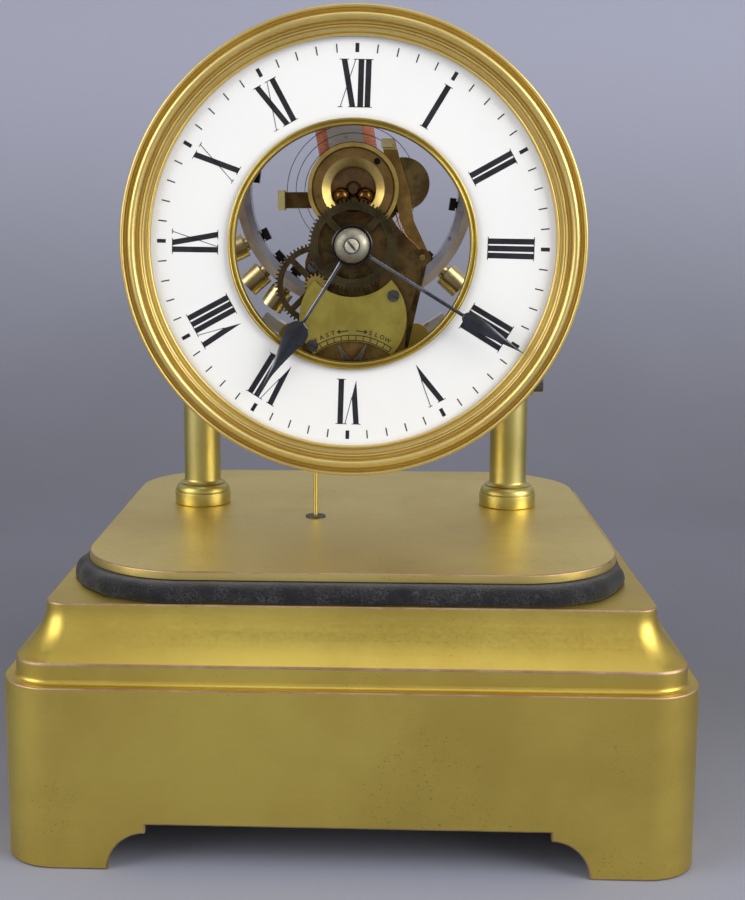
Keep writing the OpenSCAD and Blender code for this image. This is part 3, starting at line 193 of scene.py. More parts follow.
def loft(name: str, rings: Sequence[Sequence[Spot]], closed: bool = False,
         sharp: float = SHARP) -> Mesh:
    """Skin over rings of equal length, as one mesh.

    Args:
        name: Name of the mesh.
        rings: The outlines in their order.
        closed: Whether the last ring joins the first; else both ends are capped.
        sharp: Angle in degrees from which an edge stays sharp.

    Returns:
        The mesh.
    """
    total, count = len(rings), len(rings[0])
    faces: list[tuple[int, ...]] = []
    for k in range(total if closed else total - 1):
        low, high = k * count, ((k + 1) % total) * count
        for i in range(count):
            j = (i + 1) % count
            faces.append((low + i, low + j, high + j, high + i))
    if not closed:
        faces += [tuple(range(count)), tuple((total - 1) * count + i for i in range(count))]
    return mesh_of(name, [p for ring in rings for p in ring], faces, sharp)


def prism(name: str, loop: Loop, low: float, high: float) -> Mesh:
    """Straight prism along Z from an outline in X and Y."""
    return loft(name, [[(x, y, z) for x, y in loop] for z in (low, high)])


def sheet_of(name: str, loop: Loop, front: float, back: float) -> Mesh:
    """Flat piece from an outline in X and Z, filled along Y."""
    return loft(name, [[(x, y, z) for x, z in loop] for y in (front, back)])


def turned(name: str, profile: Sequence[Point], centre: Spot, axis: Axis = Axis.Y,
           steps: int = 128, sharp: float = SHARP) -> Mesh:
    """Piece made on the lathe.

    Args:
        name: Name of the mesh.
        profile: Pairs of radius and distance along the axis. It is a loop, unless it
            starts and ends on the axis.
        centre: Where radius and distance are zero.
        axis: The axis of the lathe, Y or Z.
        steps: Facets round the axis.
        sharp: Angle from which an edge stays sharp.

    Returns:
        The mesh.
    """
    rings = []
    for radius, along in profile:
        ring = []
        for i in range(steps):
            angle = 2 * math.pi * i / steps
            a, b = radius * math.cos(angle), radius * math.sin(angle)
            place = (a, along, b) if axis is Axis.Y else (a, b, along)
            ring.append(tuple(c + d for c, d in zip(centre, place)))
        rings.append(ring)
    return loft(name, rings, closed=profile[0][0] > 0, sharp=sharp)


def swept(name: str, path: Sequence[Vector], section: Sequence[Point], side: Vector,
          sharp: float = 60) -> Mesh:
    """Wire or ribbon that follows a path.

    Args:
        name: Name of the mesh.
        path: The points that it follows, in millimetres.
        section: Outline across the path, first along side, then across it.
        side: Direction that the section's first axis keeps.
        sharp: Angle from which an edge stays sharp.

    Returns:
        The mesh.
    """
    rings = []
    for i, spot in enumerate(path):
        along = (path[min(i + 1, len(path) - 1)] - path[max(i - 1, 0)]).normalized()
        across = along.cross(side).normalized()
        up = across.cross(along).normalized()
        rings.append([tuple(spot + up * u + across * v) for u, v in section])
    return loft(name, rings, sharp=sharp)


def round_section(radius: float, sides: int = 10) -> Loop:
    """Round outline for a wire."""
    return arc((0.0, 0.0), radius, 0, 360 - 360 / sides, sides - 1)


def joined(name: str, meshes: Sequence[Mesh]) -> Mesh:
    """Put several meshes into one and drop the parts.

    Args:
        name: Name of the new mesh.
        meshes: The parts.

    Returns:
        One mesh with all the parts.
    """
    sheet = bmesh.new()
    for mesh in meshes:
        sheet.from_mesh(mesh)
        bpy.data.meshes.remove(mesh)
    whole = bpy.data.meshes.new(name)
    sheet.to_mesh(whole)
    sheet.free()
    return whole


def carved(mesh: Mesh, cutters: Sequence[Mesh]) -> Mesh:
    """Cut shapes out of a mesh.

    Args:
        mesh: The piece.
        cutters: The shapes that are taken away.

    Returns:
        The cut mesh.
    """
    for cutter in cutters:
        block, tool = put("block", mesh), put("tool", cutter)
        cut = block.modifiers.new("cut", "BOOLEAN")
        cut.operation = "DIFFERENCE"
        cut.solver = "EXACT"
        cut.object = tool
        mesh = taken(block)
        bpy.data.objects.remove(tool)
    smooth(mesh)
    return mesh


def soften(piece: Piece, width: float, worn: "Finish", angle: float = 30) -> None:
    """Break the sharp edges of a piece by a small round with a finish of its own.

    Args:
        piece: The piece.
        width: Width of the round in millimetres.
        worn: The finish of the rounds.
        angle: Only edges sharper than this many degrees are broken.
    """
    bevel = piece.modifiers.new("broken edges", "BEVEL")
    bevel.width = width * MM
    bevel.segments = 3
    bevel.limit_method = "ANGLE"
    bevel.angle_limit = math.radians(angle)
    piece.data.materials.append(worn.material())
    bevel.material = 1
    level = piece.modifiers.new("flat faces", "WEIGHTED_NORMAL")
    level.keep_sharp = True


class Wiring:
    """A node tree that is filled by short calls."""

    def __init__(self, tree: Tree) -> None:
        """Keep the tree that is filled."""
        self.tree = tree

    def node(self, kind: str, **settings: object) -> Node:
        """Add a node.

        Args:
            kind: The node's type without the word that all shader nodes start with.
            **settings: The properties that are set.

        Returns:
            The node.
        """
        made = self.tree.nodes.new(f"ShaderNode{kind}")
        for key, value in settings.items():
            setattr(made, key, value)
        return made

    def feed(self, source: object, target: Socket) -> None:
        """Link a socket to an input, or set the input to a plain value.

        Args:
            source: A socket or a value.
            target: The input.
        """
        if isinstance(source, Socket):
            self.tree.links.new(source, target)
        else:
            target.default_value = source

    def fed(self, made: Node, *sources: object, **named: object) -> Sockets:
        """Feed inputs of a node with sockets or values.

        Args:
            made: The node.
            *sources: What feeds the first inputs, in their order.
            **named: What feeds other inputs, with _ for a space in the input's name.

        Returns:
            The node's outputs.
        """
        for source, target in zip(sources, made.inputs):
            self.feed(source, target)
        for label, source in named.items():
            self.feed(source, made.inputs[label.replace("_", " ")])
        return made.outputs

    def sum(self, kind: str, first: Source, second: Source, clamp: bool = False) -> Socket:
        """Add a Math node and give its result."""
        return self.fed(self.node("Math", operation=kind, use_clamp=clamp), first, second)[0]

    def blend(self, share: Source, first: object, second: object) -> Socket:
        """Mix two colours by a share of the second.

        Args:
            share: From 0 for the first colour to 1 for the second.
            first: The first colour.
            second: The second colour.

        Returns:
            The mixed colour.
        """
        made = self.node("Mix", data_type="RGBA")
        for source, target in ((share, 0), (first, 6), (second, 7)):
            self.feed(source, made.inputs[target])
        return made.outputs[2]

    def between(self, value: Socket, low: float, high: float, out_low: float = 0.0,
                out_high: float = 1.0) -> Socket:
        """Stretch a value from one range to another, clamped."""
        made = self.node("MapRange", interpolation_type="SMOOTHSTEP")
        return self.fed(made, value, low, high, out_low, out_high)[0]

    def noise(self, vector: Socket, scale: Source, detail: float = 4,
              rough: float = 0.55) -> Socket:
        """Give a noise from 0 to 1; its scale is per metre, detail counts its finer layers."""
        return self.fed(self.node("TexNoise"), Vector=vector, Scale=scale, Detail=detail,
                        Roughness=rough)[0]

    def place(self) -> Socket:
        """Coordinates that stay with the piece."""
        return self.node("TexCoord").outputs["Object"]

    def split(self, vector: Socket) -> Sockets:
        """X, Y and Z of a vector."""
        return self.fed(self.node("SeparateXYZ"), vector)

    def bump(self, shader: Node, height: Socket, depth: float, strength: float = 1.0) -> None:
        """Feed a height into the shader's normal.

        Args:
            shader: The shader that gets the normal.
            height: The height, from 0 to 1.
            depth: What 1 stands for, in millimetres.
            strength: Share of the bump that is used.
        """
        raised = self.fed(self.node("Bump"), Strength=strength, Distance=depth * MM,
                          Height=height)[0]
        self.feed(raised, shader.inputs["Normal"])


@dataclass(frozen=True)
class Effect:
    """A shader node group that several finishes use, built once.

    An input with a number is a value, any other one a vector. All outputs are values.
    """

    name: str
    inputs: tuple[tuple[str, object], ...]
    outputs: tuple[str, ...]
    fill: Callable[[Wiring, Sockets, Sockets], None]

    def group(self) -> Tree:
        """Give the group, made at its first use.

        Returns:
            The group.
        """
        known = bpy.data.node_groups.get(self.name)
        if known:
            return known
        tree = bpy.data.node_groups.new(self.name, "ShaderNodeTree")
        for label, value in self.inputs:
            kind = "NodeSocketFloat" if isinstance(value, float) else "NodeSocketVector"
            made = tree.interface.new_socket(name=label, in_out="INPUT", socket_type=kind)
            if value:
                made.default_value = value
        for label in self.outputs:
            tree.interface.new_socket(name=label, in_out="OUTPUT",
                                      socket_type="NodeSocketFloat")
        start, end = (tree.nodes.new(f"NodeGroup{side}") for side in ("Input", "Output"))
        self.fill(Wiring(tree), start.outputs, end.inputs)
        return tree

    def on(self, w: Wiring, **values: object) -> Sockets:
        """Place the group in a material, feed its inputs and give its outputs."""
        return w.fed(w.node("Group", node_tree=self.group()), **values)


def fill_patina(w: Wiring, start: Sockets, end: Sockets) -> None:
    """Wire clouds, specks and unevenness, as on old lacquered metal.

    Args:
        w: The wiring of the group.
        start: What comes into the group.
        end: What goes out of the group.
    """
    place, scale, fine = start["Vector"], start["Cloud Scale"], start["Speck Scale"]
    w.feed(w.between(w.noise(place, scale, 6, 0.6), 0.38, 0.66), end["Cloud"])
    patch = w.noise(place, w.sum("MULTIPLY", scale, 2.7), 3, 0.5)
    speck = w.noise(place, fine, 2, 0.4)
    sparse = w.sum("MULTIPLY", w.between(speck, 0.66, 0.72), w.between(patch, 0.5, 0.62))
    w.feed(w.sum("MULTIPLY", sparse, start["Speck Share"], True), end["Specks"])
    w.feed(w.noise(place, w.sum("MULTIPLY", fine, 0.6), 5, 0.6), end["Unevenness"])


def fill_grain(w: Wiring, start: Sockets, end: Sockets) -> None:
    """Wire the fine lines that a brush, an emery stick or a lathe tool leaves."""
    drawn = w.fed(w.node("VectorMath", operation="MULTIPLY"), start["Vector"], start["Stretch"])
    w.feed(w.noise(drawn[0], 1.0, 3, 0.6), end["Lines"])


def fill_wear_and_glint(w: Wiring, start: Sockets, end: Sockets) -> None:
    """Wire worn and glinting edges, with a painted highlight: where the surface bends within a
    short distance.

    Args:
        w: The wiring of the group.
        start: What comes into the group.
        end: What goes out of the group.
    """
    rounded = w.fed(w.node("Bevel", samples=4), start["Reach"])[0]
    true = w.node("NewGeometry").outputs["Normal"]
    same = w.fed(w.node("VectorMath", operation="DOT_PRODUCT"), rounded, true)["Value"]
    bend = w.sum("SUBTRACT", 1.0, same)
    ragged = w.noise(start["Vector"], 260.0, 4, 0.6)
    w.feed(w.sum("MULTIPLY", w.between(bend, 0.01, 0.12), w.between(ragged, 0.3, 0.6), True),
           end["Wear"])


def fill_grime_and_shade(w: Wiring, start: Sockets, end: Sockets) -> None:
    """Wire soiling and painted shade that gather in corners and between close pieces.

    Args:
        w: The wiring of the group.
        start: What comes into the group.
        end: What goes out of the group.
    """
    # Painted shade: ambient occlusion darkens hollows and the gaps between close pieces, mixed
    # with soiling.
    hollow = w.fed(w.node("AmbientOcclusion", samples=4), Distance=start["Reach"])["AO"]
    depth = w.sum("SUBTRACT", 1.0, hollow)
    ragged = w.noise(start["Vector"], 700.0, 4, 0.6)
    dirt = w.sum("MULTIPLY", w.between(depth, 0.1, 0.8), w.sum("ADD", ragged, 0.4))
    w.feed(w.sum("MULTIPLY", dirt, start["Share"], True), end["Dirt"])


PATINA = Effect(
    "patina", (("Vector", None), ("Cloud Scale", 20.0), ("Speck Scale", 400.0),
               ("Speck Share", 0.5)), ("Cloud", "Specks", "Unevenness"), fill_patina)
GRAIN = Effect("grain", (("Vector", None), ("Stretch", (30.0, 30.0, 2500.0))), ("Lines",),
               fill_grain)
WEAR_AND_GLINT = Effect("edge wear and glint", (("Vector", None), ("Reach", 0.0008)), ("Wear",), fill_wear_and_glint)
GRIME_AND_SHADE = Effect("grime and shade", (("Vector", None), ("Reach", 0.002), ("Share", 0.7)), ("Dirt",),
               fill_grime_and_shade)


@dataclass(frozen=True)
class Finish:
    """What every finish has: a name, and a material that is made once."""

    name: str

    def material(self) -> bpy.types.Material:
        """Give the material, made at its first use.

        Returns:
            The material.
        """
        label = f"{self.name}_finish"
        known = bpy.data.materials.get(label)
        if known:
            return known
        made = bpy.data.materials.new(label)
        made.use_nodes = True
        made.node_tree.nodes.clear()
        w = Wiring(made.node_tree)
        shader, end = w.node("BsdfPrincipled"), w.node("OutputMaterial")
        w.feed(shader.outputs[0], end.inputs["Surface"])
        self.wire(w, shader)
        return made

    def wire(self, w: Wiring, shader: Node) -> None:
        """Wire the look of the finish into its shader."""
        raise NotImplementedError


@dataclass(frozen=True)
class Zone:
    """Part of a piece with a look of its own.

    It lies between two distances, in millimetres, from a line along Y through the centre,
    or between two places along an axis where there is no centre.
    """

    low: float
    high: float
    clean: Rgba
    dull: Rgba
    centre: Optional[Point] = None
    axis: Axis = Axis.Y
    soft: float = 0.15

    def mask(self, w: Wiring, place: Socket) -> Socket:
        """Wire the share of the zone at each place.

        Args:
            w: The wiring of the material.
            place: The coordinates.

        Returns:
            From 0 outside the zone to 1 inside.
        """
        parts = w.split(place)
        value = parts[self.axis.value]
        if self.centre:
            across = w.sum("SUBTRACT", parts["X"], self.centre[0] * MM)
            rise = w.sum("SUBTRACT", parts["Z"], self.centre[1] * MM)
            square = w.sum("ADD", w.sum("MULTIPLY", across, across),
                           w.sum("MULTIPLY", rise, rise))
            value = w.sum("SQRT", square, 0.0)
        low, high = ([(end + side * self.soft) * MM for side in (-1, 1)]
                     for end in (self.low, self.high))
        return w.sum("MULTIPLY", w.between(value, *low), w.between(value, *high, 1.0, 0.0))


@dataclass(frozen=True)
class Metal(Finish):
    """Old metal with clouds of tarnish, specks, grain, worn edges with painted glints, and
    soiling with painted shade in its hollows.

    Clouds and specks have a scale and a share, grain a depth and a share, rough its least
    and its most, soiling with painted shade a share and a reach. Depths and reaches are in
    millimetres.
    """

    clean: Rgba
    dull: Rgba
    rough: Point = (0.3, 0.5)
    clouds: Point = (90.0, 0.8)
    specks: Point = (380.0, 0.5)
    grain: Point = (0.001, 0.12)
    stretch: Spot = (400.0, 400.0, 2000.0)
    dirt: Point = (0.0, 2.0)
    edge: Optional[Rgba] = None
    edge_reach: float = 0.2
    speck_colour: Rgba = (0.05, 0.03, 0.02, 1)
    dirt_and_shade_colour: Rgba = (0.03, 0.02, 0.012, 1)
    metallic: float = 1.0
    zones: tuple[Zone, ...] = ()

    def wire(self, w: Wiring, shader: Node) -> None:
        """Wire colour, roughness and grain.

        Args:
            w: The wiring of the material.
            shader: Its shader.
        """
        place = w.place()
        patina = PATINA.on(w, Vector=place, Cloud_Scale=self.clouds[0],
                           Speck_Scale=self.specks[0], Speck_Share=self.specks[1])
        lines = GRAIN.on(w, Vector=place, Stretch=self.stretch)["Lines"]
        share = w.sum("MULTIPLY", patina["Cloud"], self.clouds[1])
        share = w.sum("ADD", share, w.sum("MULTIPLY", w.sum("SUBTRACT", lines, 0.5),
                                          self.grain[1]), True)
        colour = w.blend(share, self.clean, self.dull)
        for zone in self.zones:
            colour = w.blend(zone.mask(w, place), colour, w.blend(share, zone.clean, zone.dull))
        colour = w.blend(patina["Specks"], colour, self.speck_colour)
        uneven = w.sum("ADD", w.sum("MULTIPLY", patina["Unevenness"], 0.6),
                       w.sum("MULTIPLY", lines, 0.4))
        rough = w.between(uneven, 0.3, 0.7, *self.rough)
        if self.edge:
            # Painted highlight: a lighter colour on sharp bends stands for glints along the
            # edges, together with worn brass.
            wear_and_glint = WEAR_AND_GLINT.on(w, Vector=place, Reach=self.edge_reach * MM)["Wear"]
            colour = w.blend(wear_and_glint, colour, self.edge)
        # Painted shade: hollows darken towards the soiling colour and grow rougher.
        if self.dirt[0]:
            dirt = GRIME_AND_SHADE.on(w, Vector=place, Reach=self.dirt[1] * MM, Share=self.dirt[0])["Dirt"]
            colour = w.blend(dirt, colour, self.dirt_and_shade_colour)
            rough = w.sum("ADD", rough, w.sum("MULTIPLY", dirt, 0.4), True)
        w.fed(shader, Base_Color=colour, Roughness=rough, Metallic=self.metallic)
        w.bump(shader, lines, self.grain[0])


@dataclass(frozen=True)
class Enamel(Finish):
    """White fired enamel with painted blue-grey shade near its rims, whose radii are in
    millimetres.
    """

    white: Rgba = (0.96, 0.955, 0.9, 1.0)
    shade: Rgba = (0.62, 0.66, 0.80, 1.0)
    outer_rim: Point = (67.2, 70.8)
    inner_rim: Point = (42.5, 44.8)

    def wire(self, w: Wiring, shader: Node) -> None:
        """Wire the painted shade round the rims and the slight unevenness.

        Args:
            w: The wiring of the material.
            shader: Its shader.
        """
        place = w.place()
        parts = w.split(place)
        rise = w.sum("SUBTRACT", parts["Z"], ARBOR_Z * MM)
        flat = w.fed(w.node("CombineXYZ"), X=parts["X"], Z=rise)[0]
        radius = w.fed(w.node("VectorMath", operation="LENGTH"), flat)["Value"]
        outer, inner = ([r * MM for r in rim] for rim in (self.outer_rim, self.inner_rim))
        # Painted shade: the enamel darkens to blue-grey under the bezel and next to the sight
        # ring.
        rims = [w.between(radius, *outer, 0.0, 0.75), w.between(radius, *inner, 0.55, 0.0)]
        cloud = w.noise(place, 30.0, 4, 0.5)
        faint = w.between(cloud, 0.45, 0.75, 0.0, 0.05)
        share = w.sum("ADD", w.sum("ADD", *rims), faint, True)
        w.feed(w.blend(share, self.white, self.shade), shader.inputs["Base Color"])
        w.feed(w.between(cloud, 0.3, 0.7, 0.14, 0.2), shader.inputs["Roughness"])
        w.bump(shader, w.noise(place, 160.0, 2, 0.4), 0.03, 0.25)


@dataclass(frozen=True)
class Cloth(Finish):
    """Velvet or silk: a dull colour with a sheen and a fine pile."""

    deep: Rgba
    light: Rgba
    sheen: float
    pile_scale: float
    pile_depth: float
    patch_scale: float
    rough: float = 0.85

    def wire(self, w: Wiring, shader: Node) -> None:
        """Wire the crushed patches, the lint and the pile.

        Args:
            w: The wiring of the material.
            shader: Its shader.
        """
        place = w.place()
        patch = w.noise(place, self.patch_scale, 5, 0.6)
        pile = w.noise(place, self.pile_scale, 3, 0.6)
        lint = w.between(w.noise(place, self.pile_scale * 0.2, 2, 0.4), 0.7, 0.76, 0.0, 0.5)
        share = w.sum("MULTIPLY", w.between(patch, 0.35, 0.7), w.between(pile, 0.35, 0.65))
        colour = w.blend(w.sum("ADD", share, lint, True), self.deep, self.light)
        w.fed(shader, Base_Color=colour, Roughness=self.rough, Sheen_Weight=self.sheen,
              Sheen_Roughness=0.45, Specular_IOR_Level=0.15)
        w.bump(shader, pile, self.pile_depth, 0.7)


@dataclass(frozen=True)
class Plain(Finish):
    """Paint, wood, card or ebonite: two colours in a noise, more or less glossy."""

    first: Rgba
    second: Rgba
    scale: float = 300.0
    stretch: Spot = (1.0, 1.0, 1.0)
    rough: Point = (0.35, 0.5)
    depth: float = 0.01

    def wire(self, w: Wiring, shader: Node) -> None:
        """Wire the two colours and the surface.

        Args:
            w: The wiring of the material.
            shader: Its shader.
        """
        stretch = tuple(self.scale * s for s in self.stretch)
        lines = GRAIN.on(w, Vector=w.place(), Stretch=stretch)["Lines"]
        colour = w.blend(w.between(lines, 0.35, 0.65), self.first, self.second)
        w.feed(colour, shader.inputs["Base Color"])
        w.feed(w.between(lines, 0.3, 0.7, *self.rough), shader.inputs["Roughness"])
        w.bump(shader, lines, self.depth)


WORN_EDGE = Metal(
    "worn_edge_brass", tint(190, 160, 128), tint(158, 126, 90), rough=(0.46, 0.58),
    clouds=(60.0, 0.9), specks=(380.0, 0.2), grain=(0.002, 0.12), stretch=(40.0, 40.0, 2200.0))
CASE_BRASS = Metal(
    "case_brass", tint(220, 196, 96), tint(188, 160, 74), rough=(0.36, 0.46), clouds=(9.0, 0.65),
    specks=(1500.0, 0.4), grain=(0.003, 0.12), stretch=(14.0, 14.0, 1500.0))
DECK_BRASS = Metal(
    "deck_brass", tint(232, 210, 124), tint(208, 180, 98), rough=(0.35, 0.45), clouds=(12.0, 0.6),
    specks=(1300.0, 0.5), grain=(0.002, 0.12), stretch=(10.0, 1400.0, 10.0))
TURNED_BRASS = Metal(
    "turned_brass", tint(206, 192, 118), tint(178, 160, 84), rough=(0.36, 0.44),
    clouds=(22.0, 0.55), specks=(1400.0, 0.3), grain=(0.0005, 0.12), stretch=(18.0, 18.0, 500.0))
BEZEL_BRASS = Metal(
    "bezel_brass", tint(230, 206, 130), tint(206, 178, 100), rough=(0.36, 0.46),
    clouds=(16.0, 0.45), specks=(1400.0, 0.3), stretch=(60.0, 1200.0, 60.0), dirt=(0.35, 0.8),
    dirt_and_shade_colour=tint(110, 78, 40))
NAME_BRASS = Metal(
    "name_brass", tint(184, 168, 78), tint(152, 134, 56), rough=(0.34, 0.46), clouds=(70.0, 0.7),
    specks=(1400.0, 0.4), stretch=(300.0, 300.0, 2000.0), metallic=0.85)
RING_BRASS = Metal(
    "ring_brass", tint(206, 182, 92), tint(158, 132, 66), rough=(0.32, 0.42), clouds=(60.0, 0.5),
    specks=(1400.0, 0.3), stretch=(60.0, 1200.0, 60.0), dirt=(0.6, 0.8),
    dirt_and_shade_colour=tint(92, 62, 32))
DARK_BRASS = Metal(
    "dark_brass", tint(150, 120, 66), tint(84, 62, 34), specks=(900.0, 0.8), grain=(0.002, 0.12),
    dirt=(0.9, 3.0), edge=tint(206, 170, 94), edge_reach=0.25)
PLATE_BRASS = Metal(
    "plate_brass", tint(124, 100, 60), tint(74, 58, 36), clouds=(160.0, 0.9), specks=(900.0, 0.9),
    grain=(0.003, 0.12), dirt=(0.8, 3.0), edge=tint(176, 146, 84), edge_reach=0.25)
DISC_BRASS = Metal(
    "disc_brass", tint(138, 116, 72), tint(88, 70, 42), clouds=(120.0, 0.9), specks=(900.0, 0.6),
    grain=(0.004, 0.5), stretch=(1800.0, 60.0, 60.0), dirt=(0.6, 2.0), edge=tint(190, 160, 96))
LEVER_BRASS = Metal(
    "lever_brass", tint(176, 142, 76), tint(110, 82, 42), rough=(0.28, 0.42), clouds=(90.0, 0.7),
    specks=(900.0, 0.6), grain=(0.002, 0.12), dirt=(0.6, 2.0), edge=tint(226, 190, 110),
    edge_reach=0.3,
    # Painted highlight: the lever is much lighter above 234.6 mm.
    zones=(Zone(234.6, 300.0, tint(236, 222, 158), tint(206, 186, 114), axis=Axis.Z),))
STUD_BRASS = Metal(
    "stud_brass", tint(118, 92, 50), tint(70, 52, 28), grain=(0.002, 0.12), dirt=(0.6, 2.0),
    edge=tint(190, 156, 84),
    # Painted highlight: the bracket's left cheek, left of -24.9 mm, is much lighter.
    zones=(Zone(-60.0, -24.9, tint(250, 238, 172), tint(232, 214, 134), axis=Axis.X),))
WHEEL_BRASS = Metal(
    "wheel_brass", tint(88, 78, 52), tint(50, 43, 31), rough=(0.34, 0.5), clouds=(110.0, 0.8),
    specks=(1200.0, 0.8), grain=(0.002, 0.12), stretch=(500.0, 2000.0, 500.0), dirt=(0.8, 2.0),
    edge=tint(146, 126, 80), speck_colour=tint(84, 100, 66))
MINUTE_BRASS = Metal(
    "minute_wheel_brass", tint(92, 78, 50), tint(52, 42, 28), rough=(0.28, 0.44),
    clouds=(110.0, 0.7), grain=(0.002, 0.12), stretch=(500.0, 2000.0, 500.0), dirt=(0.6, 2.0),
    edge=tint(150, 130, 80), zones=(Zone(-60.0, -46.2, tint(184, 158, 88), tint(124, 100, 54)),))
CUP_BRASS = Metal(
    "cup_brass", tint(150, 118, 68), tint(108, 82, 46), rough=(0.28, 0.42), clouds=(120.0, 0.7),
    specks=(1200.0, 0.5), stretch=(300.0, 1500.0, 300.0), dirt=(0.8, 2.0),
    zones=(Zone(-9.0, 7.9, tint(140, 110, 72), tint(88, 66, 42), STAFF),
           Zone(7.9, 11.0, tint(226, 200, 122), tint(196, 162, 88), STAFF),
           Zone(14.6, 30.0, tint(216, 186, 104), tint(176, 142, 72), STAFF),
           # Painted shade: the cup's face within 13.4 mm of the arbor, behind the hour wheel, is
           # darkened as if in its shadow.
           Zone(-9.0, 13.4, tint(90, 70, 44), tint(54, 41, 26), ARBOR, soft=0.4)))
WEIGHT_BRASS = Metal(
    "weight_brass", tint(216, 200, 150), tint(180, 160, 108), rough=(0.3, 0.4),
    clouds=(120.0, 0.5), specks=(1200.0, 0.2), grain=(0.0002, 0.12), stretch=(60.0, 60.0, 60.0),
    dirt=(0.5, 1.0),
    # Painted shade and highlight: within 40 mm of the staff this finish is near black, so only
    # the weights' outer ends stay bright.
    zones=(Zone(-9.0, 40.0, (0.035, 0.03, 0.026, 1), (0.015, 0.013, 0.012, 1), STAFF),))
RIM_BRASS = Metal(
    "rim_brass", tint(220, 204, 182), tint(178, 160, 138), rough=(0.3, 0.42), clouds=(90.0, 0.45),
    stretch=(300.0, 1500.0, 300.0), dirt=(0.3, 2.0))
STEEL = Metal(
    "polished_steel", (0.5, 0.48, 0.42, 1), (0.32, 0.29, 0.24, 1), rough=(0.28, 0.4),
    clouds=(140.0, 0.6), specks=(1500.0, 0.4), stretch=(300.0, 1500.0, 300.0), dirt=(0.6, 0.8))
COLLET_STEEL = Metal(
    "collet_steel", (0.36, 0.34, 0.26, 1), (0.2, 0.18, 0.14, 1), rough=(0.42, 0.58),
    clouds=(240.0, 0.7), specks=(1500.0, 0.5), grain=(0.002, 0.3), stretch=(900.0, 900.0, 900.0),
    dirt=(1.0, 1.4),
    zones=(Zone(-9.0, 2.45, (0.78, 0.73, 0.58, 1), (0.55, 0.5, 0.38, 1), ARBOR, soft=0.05),))
POINTER_STEEL = Metal(
    "pointer_steel", (0.16, 0.14, 0.09, 1), (0.09, 0.075, 0.05, 1), rough=(0.26, 0.36),
    clouds=(300.0, 0.7), stretch=(300.0, 300.0, 1500.0), edge=(0.85, 0.83, 0.74, 1),
    edge_reach=0.3)
STAFF_STEEL = Metal(
    "staff_steel", tint(104, 80, 52), tint(66, 50, 32), rough=(0.3, 0.44), clouds=(240.0, 0.7),
    stretch=(300.0, 300.0, 1500.0), dirt=(0.6, 2.0))
BLACK_STEEL = Metal(
    "black_steel", (0.022, 0.02, 0.018, 1), (0.01, 0.009, 0.008, 1), rough=(0.4, 0.55),
    clouds=(240.0, 0.45), stretch=(300.0, 300.0, 1500.0))
RIM_STEEL = Metal(
    "rim_steel", (0.55, 0.55, 0.6, 1), (0.36, 0.35, 0.37, 1), rough=(0.26, 0.4),
    clouds=(70.0, 0.6), stretch=(300.0, 1500.0, 300.0), dirt=(0.3, 2.0))
SOFT_IRON = Metal(
    "soft_iron", (0.72, 0.7, 0.66, 1), (0.52, 0.48, 0.43, 1), rough=(0.36, 0.5),
    clouds=(60.0, 0.7), grain=(0.002, 0.12), dirt=(0.4, 2.0))
SCREW_STEEL = Metal(
    "screw_steel", (0.15, 0.14, 0.13, 1), (0.06, 0.05, 0.045, 1), rough=(0.24, 0.42),
    clouds=(200.0, 0.7), stretch=(500.0, 500.0, 2000.0), dirt=(0.6, 0.8))
BALL_STEEL = Metal(
    "ball_steel", tint(128, 92, 44), tint(78, 52, 24), rough=(0.2, 0.3), clouds=(250.0, 0.6),
    specks=(380.0, 0.2), grain=(0.0005, 0.12), stretch=(300.0, 300.0, 300.0), dirt=(0.9, 3.5))
BLUED_STEEL = Metal(
    "blued_steel", (0.085, 0.09, 0.1, 1), (0.06, 0.06, 0.062, 1), rough=(0.2, 0.32),
    specks=(1200.0, 0.5), grain=(0.0005, 0.12), stretch=(300.0, 300.0, 1500.0),
    speck_colour=(0.09, 0.06, 0.04, 1),
    zones=(Zone(-9.0, 7.4, (0.022, 0.02, 0.018, 1), (0.014, 0.012, 0.01, 1), ARBOR),
           # Painted reflection: the hands' stems, 7.4 to 29 mm from the arbor, are a lighter
           # grey.
           Zone(7.4, 29.0, (0.2, 0.2, 0.215, 1), (0.13, 0.13, 0.135, 1), ARBOR, soft=1.2)))
COPPER = Metal(
    "bare_copper", (0.62, 0.26, 0.12, 1), (0.3, 0.12, 0.06, 1), rough=(0.25, 0.4),
    clouds=(300.0, 0.45), grain=(0.0005, 0.12), stretch=(500.0, 500.0, 500.0))
WHITE_ENAMEL = Enamel("white_enamel")
CHARCOAL_VELVET = Cloth(
    "charcoal_velvet", deep=(0.012, 0.012, 0.013, 1), light=(0.055, 0.054, 0.056, 1), sheen=0.22,
    pile_scale=1500.0, pile_depth=0.35, patch_scale=90.0)
RED_SILK = Cloth(
    "red_silk", deep=tint(172, 98, 70), light=tint(224, 152, 114), sheen=0.3, pile_scale=5200.0,
    pile_depth=0.02, rough=0.5, patch_scale=180.0)
DIAL_PAINT = Plain(
    "dial_paint", (0.006, 0.006, 0.008, 1), (0.012, 0.012, 0.014, 1), depth=0.004)
ENGRAVING_WAX = Plain(
    "engraving_wax", (0.012, 0.008, 0.005, 1), (0.03, 0.02, 0.01, 1), scale=2000.0,
    rough=(0.5, 0.7))
FIBRE = Plain("fibre_bush", tint(70, 60, 30), tint(46, 40, 22), scale=500.0)
HARDWOOD = Plain(
    "hardwood", tint(112, 74, 42), tint(82, 50, 28), scale=20.0, stretch=(1.0, 12.0, 12.0),
    rough=(0.55, 0.7), depth=0.05)
WAXED_CARD = Plain(
    "waxed_card", tint(128, 52, 38), tint(106, 40, 30), scale=120.0, stretch=(6.0, 1.0, 1.0),
    rough=(0.4, 0.6), depth=0.03)


